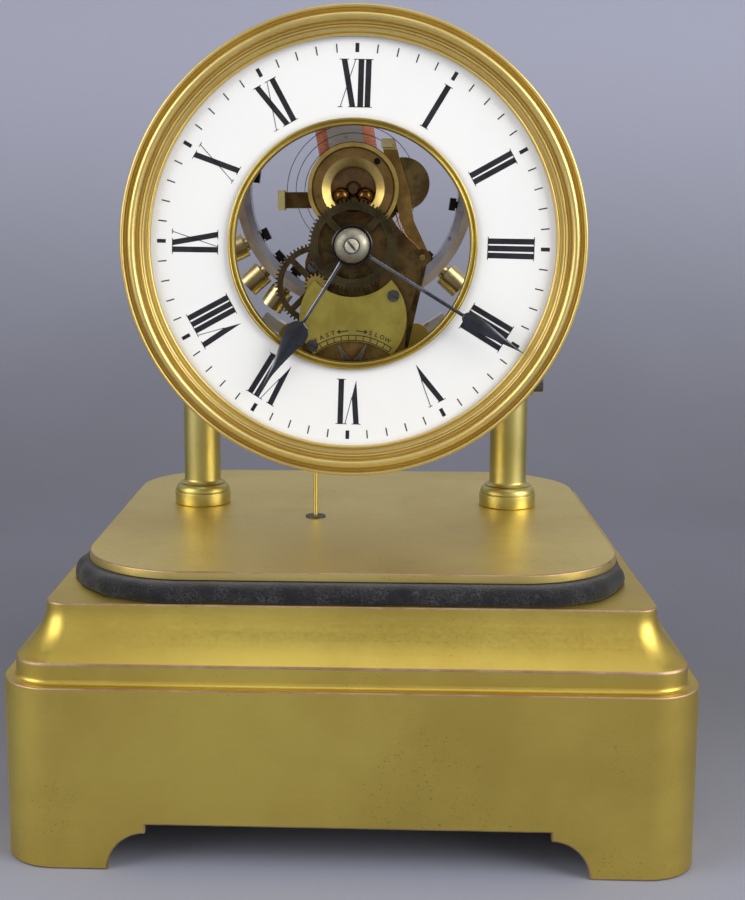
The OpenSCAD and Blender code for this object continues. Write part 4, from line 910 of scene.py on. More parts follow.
def fit(name: str, mesh: Mesh, finish: Finish, body: Optional[str] = BASE,
        instead_of: Sequence[str] = ()) -> Piece:
    """Put a piece in its place, dress it and let it ride on its body.

    Args:
        name: Name of the piece.
        mesh: Its mesh.
        finish: Its finish.
        body: The CAD body that it moves with, or None to leave it unattached.
        instead_of: The CAD nodes that it stands for.

    Returns:
        The piece.
    """
    piece = put(name, mesh)
    mesh.materials.clear()
    mesh.materials.append(finish.material())
    if instead_of:
        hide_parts(*instead_of)
    if body:
        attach(piece, body)
    LOG.info("%s in %s, %d faces", name, finish.name, len(mesh.polygons))
    return piece


def dress(looks: dict[Finish, str]) -> None:
    """Give CAD nodes that keep their shape a finish.

    Args:
        looks: Names of nodes for each finish, with spaces between them.
    """
    for finish, nodes in looks.items():
        for node in nodes.split():
            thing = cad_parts[node]
            if not thing.material_slots:
                thing.data.materials.append(finish.material())
            for place in thing.material_slots:
                place.material = finish.material()
            LOG.info("%s dressed in %s", node, finish.name)


@dataclass
class Plinth:
    """The stepped brass base: a footed box, a cove and a deck."""

    width: float = 228.6
    height: float = 61.5
    corner: float = 18.0
    wall: float = 3.0
    flange: float = 24.0
    arch_height: float = 15.6
    arch_half: float = 65.6
    arch_step: float = 3.0
    ledge_width: float = 220.4
    ledge_corner: float = 12.5
    fascia: float = 6.6
    cove_height: float = 16.2
    cove_power: float = 1.9
    cove_steps: int = 26
    deck_width: float = 201.2
    deck_corner: float = 7.3
    deck_edge: float = 1.5
    edge_round: float = 0.55
    hollow: float = 1.5
    hollow_depth: float = 0.6

    def arch(self) -> Loop:
        """Outline of the opening between two feet, across and up.

        Returns:
            The points of the outline.
        """
        drop = self.arch_height - self.arch_step
        right = arc((self.arch_half, 0), drop, 0, 90, 14)
        right = [(self.arch_half + drop, -1.0), *right, (self.arch_half, self.arch_height)]
        return right + [(-x, z) for x, z in reversed(right)]

    def box(self) -> None:
        """Make the box with its four bracket feet."""
        inner, mouth = self.width - 2 * self.wall, self.width - 2 * self.flange
        tight, reach = self.corner - self.wall, self.width / 2 + OVERCUT
        under, over = self.height - self.wall, self.height + OVERCUT
        shell = prism("plinth_box_shell",
                      rounded_rect(self.width, self.width, self.corner, 16), 0, self.height)
        fore = sheet_of("arch_fore", self.arch(), -reach, reach)
        across = loft("arch_across", [[(x, y, z) for y, z in self.arch()]
                                      for x in (-reach, reach)])
        hollow = prism("hollow", rounded_rect(inner, inner, tight), -OVERCUT, under)
        opening = prism("opening", rounded_rect(mouth, mouth, tight), 0, over)
        mesh = carved(shell, [hollow, opening, fore, across])
        piece = fit("footed_box", mesh, CASE_BRASS, instead_of=["plinth_box"])
        soften(piece, self.edge_round, WORN_EDGE)

    def rings(self, inset: float, top: float) -> list[list[Spot]]:
        """Outlines of the cove from the bottom up.

        Args:
            inset: Distance inside the outer skin.
            top: Height of the top ring.

        Returns:
            Rings of equal length.
        """
        start = self.height + self.fascia
        rise = top - self.deck_edge - start
        levels = [(z, self.ledge_width, self.ledge_corner) for z in (self.height, start)]
        for i in range(1, self.cove_steps + 1):
            share = i / self.cove_steps
            bend = 1 - (1 - share) ** self.cove_power
            levels.append((start + rise * share,
                           self.ledge_width - (self.ledge_width - self.deck_width) * bend,
                           self.ledge_corner + (self.deck_corner - self.ledge_corner) * share))
        levels.append((top, self.deck_width, self.deck_corner))
        return [[(x, y, z) for x, y in
                 rounded_rect(w - 2 * inset, w - 2 * inset, max(r - inset, 1.0))]
                for z, w, r in levels]

    def cove(self) -> None:
        """Make the moulding and the deck as one hollow casting."""
        deck = self.height + self.fascia + self.cove_height + self.deck_edge
        outer, inner = self.rings(0, deck), self.rings(self.wall, deck - self.wall)
        mesh = loft("moulding", outer[::-1] + inner, sharp=28)
        piece = fit("moulding_and_deck", mesh, CASE_BRASS,
                    instead_of=["plinth_cove"])
        soften(piece, self.edge_round, WORN_EDGE, angle=26)

    def ledge_hollow(self) -> None:
        """Run the small hollow that fills the corner between fascia and ledge."""
        size, deep, lift = self.hollow, self.hollow_depth, 0.02
        section = [(-deep, lift), (size * 0.96, lift)]
        section += arc((size, size), size, 255, 180, 5) + [(-deep, size)]
        rings = [[(x, y, self.height + z) for x, y in
                  rounded_rect(self.ledge_width + 2 * out, self.ledge_width + 2 * out,
                               self.ledge_corner + out)] for out, z in section]
        mesh = loft("hollow", rings, closed=True, sharp=50)
        fit("ledge_hollow", mesh, CASE_BRASS)

    def build(self) -> None:
        """Make the base and dress what is fixed inside it."""
        self.box()
        self.cove()
        self.ledge_hollow()
        dress({SCREW_STEEL: "plinth_screws pillar_bolts", HARDWOOD: "seat_riser",
               WAXED_CARD: "dry_cell", TURNED_BRASS: "cell_terminals feed_rod",
               DARK_BRASS: "cell_straps", FIBRE: "feed_bush"})


@dataclass
class Stand:
    """The velvet seat, the platform on it and the two pillars."""

    deck_z: float = 85.8
    seat: float = 5.9
    width: float = 186.0
    corner: float = 38.0
    thickness: float = 3.3
    platform_round: float = 0.5
    tuck_front: float = 0.5
    tuck_left: float = 2.2
    tuck_right: float = 3.6
    overhang: float = 4.4
    pitch: float = 1.4
    waves: int = 26
    seed: int = 7
    pillar_x: float = 62.2
    pillar_y: float = 20.0
    shaft: float = 7.35
    foot: float = 11.3
    neck: float = 1.5
    length: float = 46.0

    def outline(self) -> Loop:
        """Outline of the velvet with its points close together.

        Returns:
            The points of the outline.
        """
        under = self.width + 2 * self.overhang
        base = rounded_rect(under, under, self.corner + 1.5, 60)
        dense: Loop = []
        for (x, y), (nx, ny) in zip(base, base[1:] + base[:1]):
            parts = int(math.hypot(nx - x, ny - y) // self.pitch) + 1
            dense += [(x + (nx - x) * k / parts, y + (ny - y) * k / parts)
                      for k in range(parts)]
        return dense

    def velvet(self) -> None:
        """Make the padded velvet strip that shows round the platform."""
        chance = random.Random(self.seed)
        waves = [(chance.randint(3, 40), chance.uniform(0, 6.28), chance.uniform(0.04, 0.2))
                 for _ in range(self.waves)]
        section = [(-12.6, 0.15), (-0.6, 0.06), (0.9, 0.12), (1.35, 0.45), (1.5, 1.1),
                   (1.4, 2.2), (1.1, 3.4), (0.55, 4.5), (-0.4, 5.25), (-1.8, 5.7),
                   (-3.0, 5.85), (-12.6, 5.85)]
        dense = self.outline()
        rings: list[list[Spot]] = []
        for push, height in section:
            ring: list[Spot] = []
            loose = max(0.0, min(1.0, 1 + push / 4))
            crown = min(1.0, height / 2.0) * (1.0 if height < 5 else 0.4)
            for i, (x, y) in enumerate(dense):
                (bx, by), (nx, ny) = dense[i - 1], dense[(i + 1) % len(dense)]
                length = math.hypot(nx - bx, ny - by)
                out_x, out_y = (ny - by) / length, -(nx - bx) / length
                turn = 2 * math.pi * i / len(dense)
                wave = sum(size * math.sin(turns * turn + start + height * 0.35)
                           for turns, start, size in waves)
                fine = chance.uniform(-0.05, 0.05)
                aside = out_x * out_x
                tuck = (self.tuck_front * (1 - aside)
                        - (self.tuck_right if out_x > 0 else self.tuck_left) * aside)
                move = push + loose * (0.75 * wave + fine + tuck)
                lift = loose * (0.22 * wave) * crown
                ring.append((x + out_x * move, y + out_y * move,
                             self.deck_z + min(max(height + lift, 0.05), self.seat - 0.03)))
            rings.append(ring)
        mesh = loft("velvet", rings, closed=True, sharp=80)
        piece = fit("velvet_seat_strip", mesh, CHARCOAL_VELVET,
                    instead_of=["velvet_seat"])

    def platform(self) -> None:
        """Make the brass platform with its rounded corners."""
        low = self.deck_z + self.seat
        outline = rounded_rect(self.width, self.width, self.corner, 40)
        mesh = prism("platform_sheet", outline, low, low + self.thickness)
        piece = fit("platform_plate", mesh, DECK_BRASS, instead_of=["platform"])
        soften(piece, self.platform_round, WORN_EDGE)

    def pillar(self, side: str, x: float) -> None:
        """Turn one pillar.

        Args:
            side: Left or right.
            x: Where its axis is.
        """
        f, r, top, neck = self.foot, self.shaft, self.length, self.neck
        profile = ([(0.0, 0.0), (f - 0.5, 0.0)] + arc((f - 0.5, 0.5), 0.5, -90, 0, 4)[1:]
                   + arc((f - 0.25, 4.9), 0.25, 0, 90, 4) + [(f - 0.55, 5.25)]
                   + arc((f - 3.4, 5.5), 3.0, 0, 76, 12)
                   + [(r + neck + 0.35, 8.6), (r + neck + 0.2, 8.75)])
        profile += arc((r + neck, 8.8 + neck), neck, 270, 180, 9) + [
            (r, top * 0.5), (r, top - 0.6), (r - 0.6, top), (0.0, top)]
        place = (x, self.pillar_y, self.deck_z + self.seat + self.thickness)
        mesh = turned(f"pillar_{side}", profile, place, Axis.Z, 96)
        fit(f"pillar_{side}", mesh, TURNED_BRASS,
            instead_of=[f"{side}_pillar"])

    def build(self) -> None:
        """Make the stand and dress the bridge on its pillars."""
        self.velvet()
        self.platform()
        self.pillar("left", -self.pillar_x)
        self.pillar("right", self.pillar_x)
        dress({CASE_BRASS: "frame_bridge", BLUED_STEEL: "bridge_screws",
               SCREW_STEEL: "side_screw"})


@dataclass
class Dial:
    """Bezel, enamel with its numerals and marks, and the ring of the opening."""

    bezel_r: float = 79.8
    enamel_r: float = 69.4
    sight_r: float = 42.7
    open_r: float = 40.3
    tilt: float = 1.24
    numeral_in: float = 46.1
    numeral_out: float = 62.0
    bar: float = 1.9
    hair: float = 0.24
    serif: float = 0.62
    mark_r: float = 65.7
    hour_mark: Point = (0.64, 1.5)
    minute_mark: Point = (0.21, 1.45)
    paint: float = 0.05

    def spot(self, hour_angle: float, across: float, radius: float, depth: float) -> Spot:
        """Place on the dial.

        Args:
            hour_angle: Clockwise angle from twelve, in degrees.
            across: Distance to the clockwise side.
            radius: Distance from the middle.
            depth: Distance in front of the enamel.

        Returns:
            The place in millimetres.
        """
        turn = math.radians(hour_angle + self.tilt)
        return (radius * math.sin(turn) + across * math.cos(turn), ENAMEL_FRONT - depth,
                ARBOR_Z + radius * math.cos(turn) - across * math.sin(turn))

    def stroke(self, angle: float, corners: Loop) -> Mesh:
        """One painted stroke, given by its corners across and out."""
        return loft("stroke", [[self.spot(angle, u, r, depth) for u, r in corners]
                               for depth in (-0.02, self.paint)])

    @staticmethod
    def slab(first: float, second: float, start: float, end: float, half: float) -> Loop:
        """Corners of a stroke between two places across and two radii."""
        return [(first - half, start), (first + half, start), (second + half, end),
                (second - half, end)]

    def thick_stroke(self, outer: float, inner: float) -> list[Loop]:
        """A thick stroke with a hairline at both of its ends.

        Args:
            outer: Where its outer end is, across.
            inner: Where its inner end is, across.

        Returns:
            Its three shapes.
        """
        out, low, reach = self.numeral_out, self.numeral_in, self.bar / 2 + self.serif
        return [self.slab(outer, inner, out, low, self.bar / 2),
                self.slab(outer, outer, out, out - self.hair, reach),
                self.slab(inner, inner, low + self.hair, low, reach)]

    def letter(self, kind: str, left: float, alone: bool = False) -> tuple[list[Loop], float]:
        """Strokes of one letter.

        Args:
            kind: I, V or X.
            left: Where the letter starts, across.
            alone: Whether the letter is the whole numeral.

        Returns:
            The strokes, and the letter's width.
        """
        out, low, half, fine = self.numeral_out, self.numeral_in, self.bar / 2, self.hair
        if kind == "I":
            centre = left + 1.25
            return self.thick_stroke(centre, centre * 0.96), 2.5
        if kind == "V":
            thick, thin = left + half, left + (5.3 if alone else 4.9)
            tip, foot = thick + (1.95 if alone else 0.35), low + 0.4
            share = self.bar / (thin - thick + half)
            join_u, join_r = tip + (thin - tip) * share, foot + (out - foot) * share
            return [[(thick - half, out), (thick + half, out), (join_u, join_r), (tip, foot)],
                    self.slab(thin, join_u, out, join_r, fine / 2),
                    self.slab(thick, thick, out, out - fine, half + self.serif),
                    self.slab(thin, thin, out, out - fine, 0.7)], 5.3
        thin_out, thin_in = left + 4.9, left - 0.1
        return self.thick_stroke(left + half + 0.05, left + 4.1) + [
            self.slab(thin_out, thin_in, out, low, fine / 2),
            self.slab(thin_out, thin_out, out, out - fine, 0.8),
            self.slab(thin_in, thin_in, low + fine, low, 0.8)], 5.5

    def numerals(self) -> None:
        """Paint the twelve hours, with feet towards the middle."""
        words = "XII I II III IIII V VI VII VIII IX X XI".split()
        strokes: list[Mesh] = []
        for hour, word in enumerate(words):
            left = -sum(self.letter(kind, 0)[1] for kind in word) / 2
            for kind in word:
                shapes, advance = self.letter(kind, left, len(word) == 1)
                strokes += [self.stroke(hour * 30, shape) for shape in shapes]
                left += advance
        fit("hour_numerals", joined("hour_numerals", strokes), DIAL_PAINT)

    def minutes(self) -> None:
        """Paint the minute marks, with a bar at each hour."""
        marks: list[Mesh] = []
        for minute in range(60):
            half, reach = self.minute_mark if minute % 5 else self.hour_mark
            corners = self.slab(0, 0, self.mark_r - reach, self.mark_r + reach, half)
            marks.append(self.stroke(minute * 6, corners))
        fit("minute_marks", joined("minute_marks", marks), DIAL_PAINT)

    def bezel(self) -> None:
        """Turn the bezel with its lip, hollow, half round and outer bead."""
        e, o = self.enamel_r, self.bezel_r
        profile = ([(e, -0.15)] + arc((e + 0.45, -1.8), 0.45, 180, 360)
                   + [(e + 1.0, -1.5), (e + 1.2, -1.15), (e + 1.7, -0.95), (e + 2.3, -1.0),
                      (e + 2.75, -1.3), (e + 2.92, -2.0)]
                   + arc((e + 3.3, -2.3), 0.38, 180, 360)
                   + [(e + 3.75, -1.95), (e + 4.1, -1.6), (e + 4.6, -1.6), (e + 4.86, -1.9)]
                   + [(o - 4.1 + 1.45 * math.cos(math.radians(a)),
                       -2.6 + 1.75 * math.sin(math.radians(a))) for a in range(184, 357, 8)]
                   + [(o - 2.6, -1.9), (o - 2.3, -1.5), (o - 1.9, -1.4), (o - 1.55, -1.6),
                      (o - 1.38, -2.2)]
                   + arc((o - 0.72, -2.6), 0.64, 175, 360, 9)
                   + [(o - 0.06, -2.0), (o, -1.7), (o, 3.7), (o - 0.3, 4.0), (o - 2.0, 4.0),
                      (o - 2.0, -0.15)])
        mesh = turned("bezel", profile, (0, ENAMEL_FRONT, ARBOR_Z), steps=256, sharp=40)
        fit("turned_bezel", mesh, BEZEL_BRASS, instead_of=["bezel"])

    def sight_ring(self) -> None:
        """Turn the ring that lines the opening."""
        i, o = self.open_r, self.sight_r
        profile = ([(i, 3.2)] + arc((i + 0.42, -1.5), 0.42, 180, 350)
                   + [(i + 0.95, -1.15), (i + 1.25, -1.0), (i + 1.5, -1.1)]
                   + arc((o - 0.42, -1.25), 0.42, 180, 360)
                   + [(o, -0.03), (o - 1.0, 0.0), (o - 1.0, 3.2)])
        mesh = turned("sight_ring", profile, (0, ENAMEL_FRONT, ARBOR_Z), steps=192, sharp=40)
        fit("beaded_sight_ring", mesh, RING_BRASS, instead_of=["sight_ring"])

    def build(self) -> None:
        """Make the dial and dress its plates."""
        dress({WHITE_ENAMEL: "enamel_dial", DARK_BRASS: "dial_backing dial_feet"})
        self.bezel()
        self.sight_ring()
        self.numerals()
        self.minutes()


@dataclass
class PearHand:
    """A blued hand: its boss, its stem and a pear at its end.

    The angle is clockwise from twelve, the front its Y, root, start and reach are distances
    from the arbor, and power says how hollow the pear's sides are.
    """

    name: str
    node: str
    body: str
    front: float
    angle: float
    root: float
    start: float
    width: float
    reach: float
    power: float
    boss: float
    hole: float
    thickness: float = 0.7
    shoulder: float = 0.17
    steps: int = 44

    def half_width(self, share: float) -> float:
        """Half width of the pear at a share of its length.

        Args:
            share: From 0 at its start to 1 at its tip.

        Returns:
            The half width, not less than what can be filed.
        """
        if share < self.shoulder:
            half = self.width * math.sqrt(max(0.0, 1 - (1 - share / self.shoulder) ** 2))
        else:
            half = self.width * ((1 - share) / (1 - self.shoulder)) ** self.power
        return max(0.6 if share < 0.1 else 0.1, half)

    def build(self) -> None:
        """Make the hand, domed along its middle."""
        stations = [(self.root, 1.0), (self.root + 3, 0.8), (self.root + 6, 0.64),
                    (self.start - 0.4, 0.6)]
        for i in range(1, self.steps):
            share = (i / self.steps) ** 1.5
            stations.append((self.start + (self.reach - self.start) * share,
                             self.half_width(share)))
        stations.append((self.reach, 0.08))
        turn = math.radians(self.angle)
        across = Vector((math.cos(turn), 0, -math.sin(turn)))
        out = Vector((math.sin(turn), 0, math.cos(turn)))
        centre = Vector((0, self.front, ARBOR_Z))
        rings = []
        for along, half in stations:
            crown = min(0.38, half * 0.3)
            left = [(-1.0, self.thickness), (-1.0, 0.34), (-0.82, 0.18),
                    (-0.45, 0.2 - crown * 0.7)]
            outline = left + [(0.0, 0.2 - crown)] + [(-u, v) for u, v in reversed(left)]
            rings.append([tuple(centre + out * along + across * (u * half)
                                + Vector((0, v, 0))) for u, v in outline])
        blade = loft(self.name, rings, sharp=50)
        profile = [(self.hole, 0.05), (self.boss - 0.3, 0.0), (self.boss, 0.2),
                   (self.boss, self.thickness), (self.hole, self.thickness)]
        disc = turned("boss", profile, (0, self.front, ARBOR_Z), steps=64)
        fit(self.name, joined(self.name, [blade, disc]), BLUED_STEEL,
            self.body, [self.node])


@dataclass
class Hands:
    """Both pear hands and their polished collet."""

    minute_y: float = -66.5
    hour_y: float = -63.6
    minute_angle: float = 121.8
    hour_angle: float = 212.4
    slot_turn: float = 50.0
    slot_half: float = 0.42

    def collet(self) -> None:
        """Turn the domed collet with its slotted screw."""
        y, s = self.minute_y, self.slot_half
        dome = [(1.52, 3.38), (5.6, 3.4)] + arc((5.6, 3.1), 0.3, 90, 0, 3) + [
            (5.9, 2.7), (5.72, 2.2), (5.3, 1.6), (4.7, 1.05), (4.0, 0.6), (3.2, 0.3),
            (2.75, 0.22), (2.7, 0.5), (1.52, 0.5)]
        cap = turned("dome", dome, (0, y - 3.4, ARBOR_Z), steps=96)
        screw = [(0.0, 1.25), (2.4, 1.25), (2.4, 0.62), (2.2, 0.3), (1.5, 0.1), (0.0, 0.0)]
        head = turned("head", screw, (0, y - 4.6, ARBOR_Z), steps=64)
        slot = sheet_of("slot", [(-4, -s), (4, -s), (4, s), (-4, s)], y - 5.4, y - 3.75)
        slot.transform(Matrix.Translation((0, 0, ARBOR_Z * MM))
                       @ Matrix.Rotation(math.radians(self.slot_turn), 4, "Y"))
        mesh = joined("collet", [cap, carved(head, [slot])])
        fit("domed_collet", mesh, COLLET_STEEL, "minute_arbor", ["hand_collet"])

    def build(self) -> None:
        """Make both hands and the collet."""
        PearHand("pear_minute_hand", "minute_hand", "minute_arbor", self.minute_y,
                 self.minute_angle, root=3.0, start=44.3, width=2.8, reach=69.0, power=1.08,
                 boss=4.6, hole=1.55).build()
        PearHand("pear_hour_hand", "hour_hand", "hour_body", self.hour_y,
                 self.hour_angle, root=5.0, start=31.0, width=4.2, reach=60.7, power=1.6,
                 boss=6.9, hole=2.3).build()
        self.collet()


@dataclass
class Balance:
    """The large balance with its electromagnet, rim, weights and spring."""

    coil_top: float = 37.0
    coil_foot: float = 6.4
    coil_width: float = 22.0
    coil_depth: float = 11.0
    wire: float = 0.3
    spring_y: float = -22.0
    spring_out: float = 24.6
    spring_in: float = 5.2
    spring_turns: int = 6
    spring_half: Point = (0.35, 0.11)
    stud_drop: float = 3.8

    def around(self, wires: int, bend: float) -> Loop:
        """Outline round the core, some wires inside the coil's outer side."""
        return rounded_rect(self.coil_width - wires * self.wire,
                            self.coil_depth - wires * self.wire, self.coil_depth * bend, 5)

    def windings(self) -> None:
        """Wind silk covered wire round both arms of the core."""
        lean = Matrix.Rotation(-math.radians(90 + COIL_LEAN), 4, "Y")
        pitch, turn, core = 2 * self.wire, self.around(2, 0.4), self.around(3, 0.36)
        turns = int((self.coil_top - self.coil_foot - pitch) / pitch)
        path = []
        for k in range(turns * len(turn) + 1):
            u, v = turn[k % len(turn)]
            path.append(Vector((self.coil_foot + self.wire + pitch * k / len(turn), v, u)))
        coils = []
        for side in (0, math.pi):
            coil = swept("coil", path, round_section(self.wire * 1.04, 6), Vector((1, 0, 0)),
                         sharp=70)
            former = loft("former", [[(x, v, u) for u, v in core]
                                     for x in (self.coil_foot, self.coil_top)])
            for mesh in (coil, former):
                mesh.transform(Matrix.Translation((0, BALANCE_Y * MM, STAFF_Z * MM)) @ lean
                               @ Matrix.Rotation(side, 4, "Y"))
                coils.append(mesh)
        fit("silk_windings", joined("silk_windings", coils), RED_SILK, "balance",
            ["magnet_windings"])

    def spring(self) -> None:
        """Coil the flat blued spring from its collet to its stud."""
        end = math.pi + math.asin(self.stud_drop / self.spring_out)
        width = self.spring_out - self.spring_in
        steps = self.spring_turns * 60
        path = []
        for i in range(steps + 1):
            turn = end - 2 * math.pi * self.spring_turns * (1 - i / steps)
            radius = self.spring_in + width * i / steps
            path.append(Vector((radius * math.cos(turn), self.spring_y,
                                STAFF_Z + radius * math.sin(turn))))
        wide, thin = self.spring_half
        ribbon = [(wide, thin), (-wide, thin), (-wide, -thin), (wide, -thin)]
        mesh = swept("spiral", path, ribbon, Vector((0, 1, 0)))
        piece = fit("blued_hairspring", mesh, BLUED_STEEL, None, ["hairspring"])
        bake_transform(piece)

    def build(self) -> None:
        """Make the windings and the spring and dress the rest."""
        self.windings()
        self.spring()
        dress({STAFF_STEEL: "balance_staff", SOFT_IRON: "magnet_core armature",
               RIM_STEEL: "rim_steel", RIM_BRASS: "rim_brass",
               WEIGHT_BRASS: "timing_weights",
               BALL_STEEL: "front_ball_left front_ball_right rear_ball_left rear_ball_right"})


@dataclass
class Movement:
    """Plates, train, bearings and regulator behind the opening."""

    scale_pivot: float = 146.55
    scale_out: float = 23.4
    scale_in: float = 21.65
    scale_half: float = 36.0
    scale_cells: int = 11
    scale_steps: int = 24
    arrow_r: float = 25.0
    word_r: float = 24.3
    letter_height: float = 2.1
    plate_front: float = -51.0
    lead_y: float = -41.35
    lead_r: float = 0.3

    def on_scale(self, angle: float, radius: float) -> Point:
        """Place on the regulator's scale, by angle from upright and radius."""
        turn = math.radians(angle)
        return radius * math.sin(turn), self.scale_pivot + radius * math.cos(turn)

    def line(self, first: Point, second: Point, half: float) -> Mesh:
        """Engrave a line on the name plate.

        Args:
            first: Where it starts, by angle and radius on the scale.
            second: Where it ends.
            half: Half of its width.

        Returns:
            The mesh.
        """
        (ax, az), (bx, bz) = self.on_scale(*first), self.on_scale(*second)
        run = Vector((bx - ax, bz - az)).normalized() * half
        corners = [(ax - run.y, az + run.x), (bx - run.y, bz + run.x),
                   (bx + run.y, bz - run.x), (ax + run.y, az - run.x)]
        return sheet_of("line", corners, self.plate_front - 0.03, self.plate_front + 0.02)

    def scale(self) -> None:
        """Engrave the ladder scale and the two arrows."""
        wide, steps, cells = self.scale_half, self.scale_steps, self.scale_cells
        lines = []
        for radius in (self.scale_out, self.scale_in):
            for i in range(steps):
                start, end = (-wide + 2 * wide * k / steps for k in (i, i + 1))
                lines.append(self.line((start, radius), (end, radius), 0.17))
        for i in range(cells + 1):
            angle = -wide + 2 * wide * i / cells
            lines.append(self.line((angle, self.scale_in), (angle, self.scale_out), 0.16))
        for side in (-1, 1):
            head = (side * 12, self.arrow_r)
            lines.append(self.line((side * 3, self.arrow_r), head, 0.2))
            lines += [self.line(head, (side * 9.6, self.arrow_r + up), 0.2)
                      for up in (-0.6, 0.6)]
        fit("regulator_scale", joined("regulator_scale", lines), ENGRAVING_WAX)

    def letters(self) -> None:
        """Engrave the plain words for the two directions."""
        parts = []
        for word, start, step in (("FAST", -30.5, 5.0), ("SLOW", 15.0, 4.9)):
            for i, letter in enumerate(word):
                font = bpy.data.curves.new("letter", "FONT")
                font.body = letter
                font.size = self.letter_height * MM
                font.align_x = "CENTER"
                font.extrude = 0.02 * MM
                font.offset = 0.055 * MM
                mesh = taken(put("letter", font))
                angle = start + step * i
                x, z = self.on_scale(angle, self.word_r)
                place = (x * MM, (self.plate_front - 0.02) * MM, z * MM)
                mesh.transform(Matrix.Translation(place)
                               @ Matrix.Rotation(math.radians(angle), 4, "Y")
                               @ Matrix.Rotation(math.pi / 2, 4, "X"))
                parts.append(mesh)
        fit("regulator_words", joined("regulator_words", parts), ENGRAVING_WAX)

    def cup_screw(self) -> None:
        """Turn the small dark screw in the face of the front cup."""
        head = [(0.0, 0.9), (1.15, 0.9), (1.15, 0.12), (1.0, 0.0), (0.0, -0.04)]
        mesh = turned("cup_screw", head, (8.3, -43.45, STAFF_Z + 9.5), steps=32)
        fit("cup_screw", mesh, BLACK_STEEL)

    def lead(self) -> None:
        """Lay the thin copper lead on the plate, in an even curve through its bends."""
        bends = [(15.2, 11), (16, 7.6), (17.4, 4.6), (19.6, 2), (21.8, 0), (23.6, -1.9)]
        last, steps = len(bends) - 1, 6
        path = []
        for i in range(last):
            near = bends[max(i - 1, 0)], bends[i], bends[i + 1], bends[min(i + 2, last)]
            for k in range(steps):
                t = k / steps
                x, z = (0.5 * (2 * h + (n - b) * t + (2 * b - 5 * h + 4 * n - a) * t * t
                               + (3 * h - b - 3 * n + a) * t ** 3) for b, h, n, a in zip(*near))
                path.append(Vector((x, self.lead_y, ARBOR_Z + z)))
        path.append(Vector((bends[-1][0], self.lead_y, ARBOR_Z + bends[-1][1])))
        mesh = swept("lead", path, round_section(self.lead_r), Vector((0, 1, 0)))
        fit("copper_lead", mesh, COPPER, instead_of=["lead_wire"])

    def build(self) -> None:
        """Make the small pieces and dress the works."""
        self.scale()
        self.letters()
        self.lead()
        self.cup_screw()
        dress({PLATE_BRASS: "front_plate train_bridge train_posts",
               DARK_BRASS: "back_plate scale_plate", DISC_BRASS: "contact_disc",
               LEVER_BRASS: "pawl_lever", STUD_BRASS: "stud_bracket",
               CASE_BRASS: "armature_posts", CUP_BRASS: "front_cup rear_cup",
               WEIGHT_BRASS: "contact_spring", SCREW_STEEL: "plate_screws regulator_posts",
               NAME_BRASS: "regulator_plate", POINTER_STEEL: "regulator_pointer",
               STEEL: "cannon_pinion",
               WHEEL_BRASS: "ratchet_wheel transfer_wheel centre_wheel hour_wheel",
               MINUTE_BRASS: "minute_wheel"})


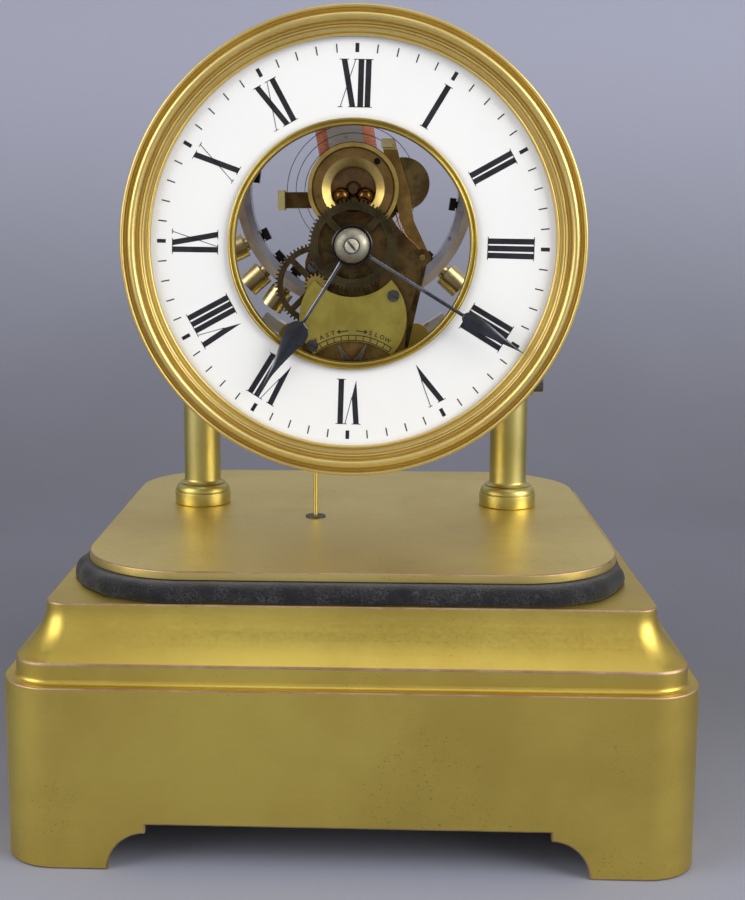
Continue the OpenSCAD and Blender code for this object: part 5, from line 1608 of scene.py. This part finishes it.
@dataclass
class Studio:
    """Camera, floor, backdrop and soft lamps."""

    camera_place: Spot = (7.862, -537.328, 211.693)
    tip: float = 81.308
    pan: float = 2.656
    lens: float = 67.04
    sensor: float = 36.0
    shift_x: float = 0.0834
    shift_y: float = -0.0309
    # The floor and the backdrop that it rises into
    bend: float = 500.0
    back: float = 900.0
    high: float = 2600.0
    wide: float = 7000.0
    front: float = 6000.0
    # In metres
    lamp_side: float = 1.0

    def camera(self) -> None:
        """Set the camera where the photograph was taken from."""
        data = bpy.data.cameras.new("camera")
        data.sensor_fit = "HORIZONTAL"
        data.sensor_width = self.sensor
        data.lens = self.lens
        data.shift_x = self.shift_x
        data.shift_y = self.shift_y
        data.clip_start = 0.01
        camera = put("camera", data)
        camera.location = [c * MM for c in self.camera_place]
        camera.rotation_euler = (math.radians(self.tip), 0, math.radians(self.pan))
        bpy.context.scene.camera = camera

    def cloth(self) -> bpy.types.Material:
        """Grey cloth with painted light: lighter in front of the clock and above, darker low
        behind it. It can be seen through from behind.

        Returns:
            The material.
        """
        made = bpy.data.materials.new("studio_cloth")
        made.use_nodes = True
        w = Wiring(made.node_tree)
        shader = made.node_tree.nodes["Principled BSDF"]
        place = w.place()
        parts = w.split(place)
        cloud = w.between(w.noise(place, 3.0, 3, 0.5), 0.3, 0.7)
        low = w.blend(cloud, tint(118, 119, 127), tint(126, 127, 136))
        # Painted light: the floor is lighter in front of the clock and darker behind it, and the
        # backdrop lighter upwards, as the lamps' fall-off.
        near = w.between(parts["Y"], -0.3, 0.12, 1.0, 0.0)
        low = w.blend(near, low, tint(166, 169, 186))
        middle = w.blend(w.between(parts["Z"], 0.0, 0.4), low, tint(170, 172, 188))
        above = w.blend(w.between(parts["Z"], 0.38, 1.1), middle, tint(236, 237, 240))
        w.fed(shader, Base_Color=above, Roughness=0.9, Specular_IOR_Level=0.1)
        mixed = w.node("MixShader")
        behind = w.node("NewGeometry").outputs["Backfacing"]
        clear = w.node("BsdfTransparent").outputs[0]
        w.feed(w.fed(mixed, behind, shader.outputs[0], clear)[0],
               made.node_tree.nodes["Material Output"].inputs["Surface"])
        return made

    def floor(self) -> None:
        """Lay a pale floor that rises into the backdrop."""
        start = self.back - self.bend
        line = [(y, 0.0) for y in (-self.front, -600.0, 0.0, start)]
        line += arc((start, self.bend), self.bend, 276, 360, 14) + [(self.back, self.high)]
        points = [(x, y, z - 0.05) for y, z in line for x in (-self.wide, self.wide)]
        faces = [(2 * i, 2 * i + 1, 2 * i + 3, 2 * i + 2) for i in range(len(line) - 1)]
        mesh = mesh_of("studio_floor", points, faces, 60)
        if mesh.polygons[0].normal.z < 0:
            mesh.flip_normals()
        floor = put("studio_floor", mesh)
        mesh.materials.append(self.cloth())

    def lamp(self, name: str, place: Spot, aim: Spot, power: float) -> None:
        """Hang one soft lamp.

        Args:
            name: Name of the lamp.
            place: Where it hangs, in metres.
            aim: What it points at, in metres.
            power: Power in watts.
        """
        data = bpy.data.lights.new(name, "AREA")
        data.shape = "SQUARE"
        data.size = self.lamp_side
        data.energy = power
        lamp = put(name, data)
        lamp.location = place
        lamp.rotation_euler = (Vector(aim) - Vector(place)).to_track_quat("-Z", "Y").to_euler()

    def world(self) -> None:
        """Fill the room with a soft grey that is lighter above."""
        world = bpy.data.worlds.new("studio")
        bpy.context.scene.world = world
        world.use_nodes = True
        w = Wiring(world.node_tree)
        back = world.node_tree.nodes["Background"]
        parts = w.split(w.node("TexCoord").outputs["Generated"])
        share = w.between(parts["Z"], 0.05, 0.6)
        colour = w.blend(share, (0.68, 0.68, 0.71, 1), (0.28, 0.28, 0.31, 1))
        front = w.between(parts["Y"], -0.8, -0.2, 0.5, 0.0)
        low = w.between(parts["Z"], 0.2, 0.6, 1.0, 0.0)
        darker = w.blend(w.sum("MULTIPLY", front, low), colour, (0.36, 0.36, 0.38, 1))
        w.fed(back, Color=darker, Strength=0.95)

    def build(self) -> None:
        """Set up the studio."""
        self.camera()
        self.floor()
        self.world()
        self.lamp("right", (1.25, -0.75, 0.75), (0, 0, 0.14), 19.5)
        self.lamp("left", (-1.25, -0.8, 0.75), (0, 0, 0.14), 13.2)
        self.lamp("top", (0.1, -0.3, 1.5), (0, -0.1, 0.07), 3.1)


def main() -> None:
    """Build the studio and the clock, part by part."""
    logging.basicConfig(level=logging.INFO, format="%(name)s: %(message)s")
    bpy.context.scene.view_settings.view_transform = "Standard"
    for part in (Studio(), Plinth(), Stand(), Dial(), Hands(), Balance(), Movement()):
        part.build()
        LOG.info("%s is done", type(part).__name__)


if __name__ == "__main__":
    main()
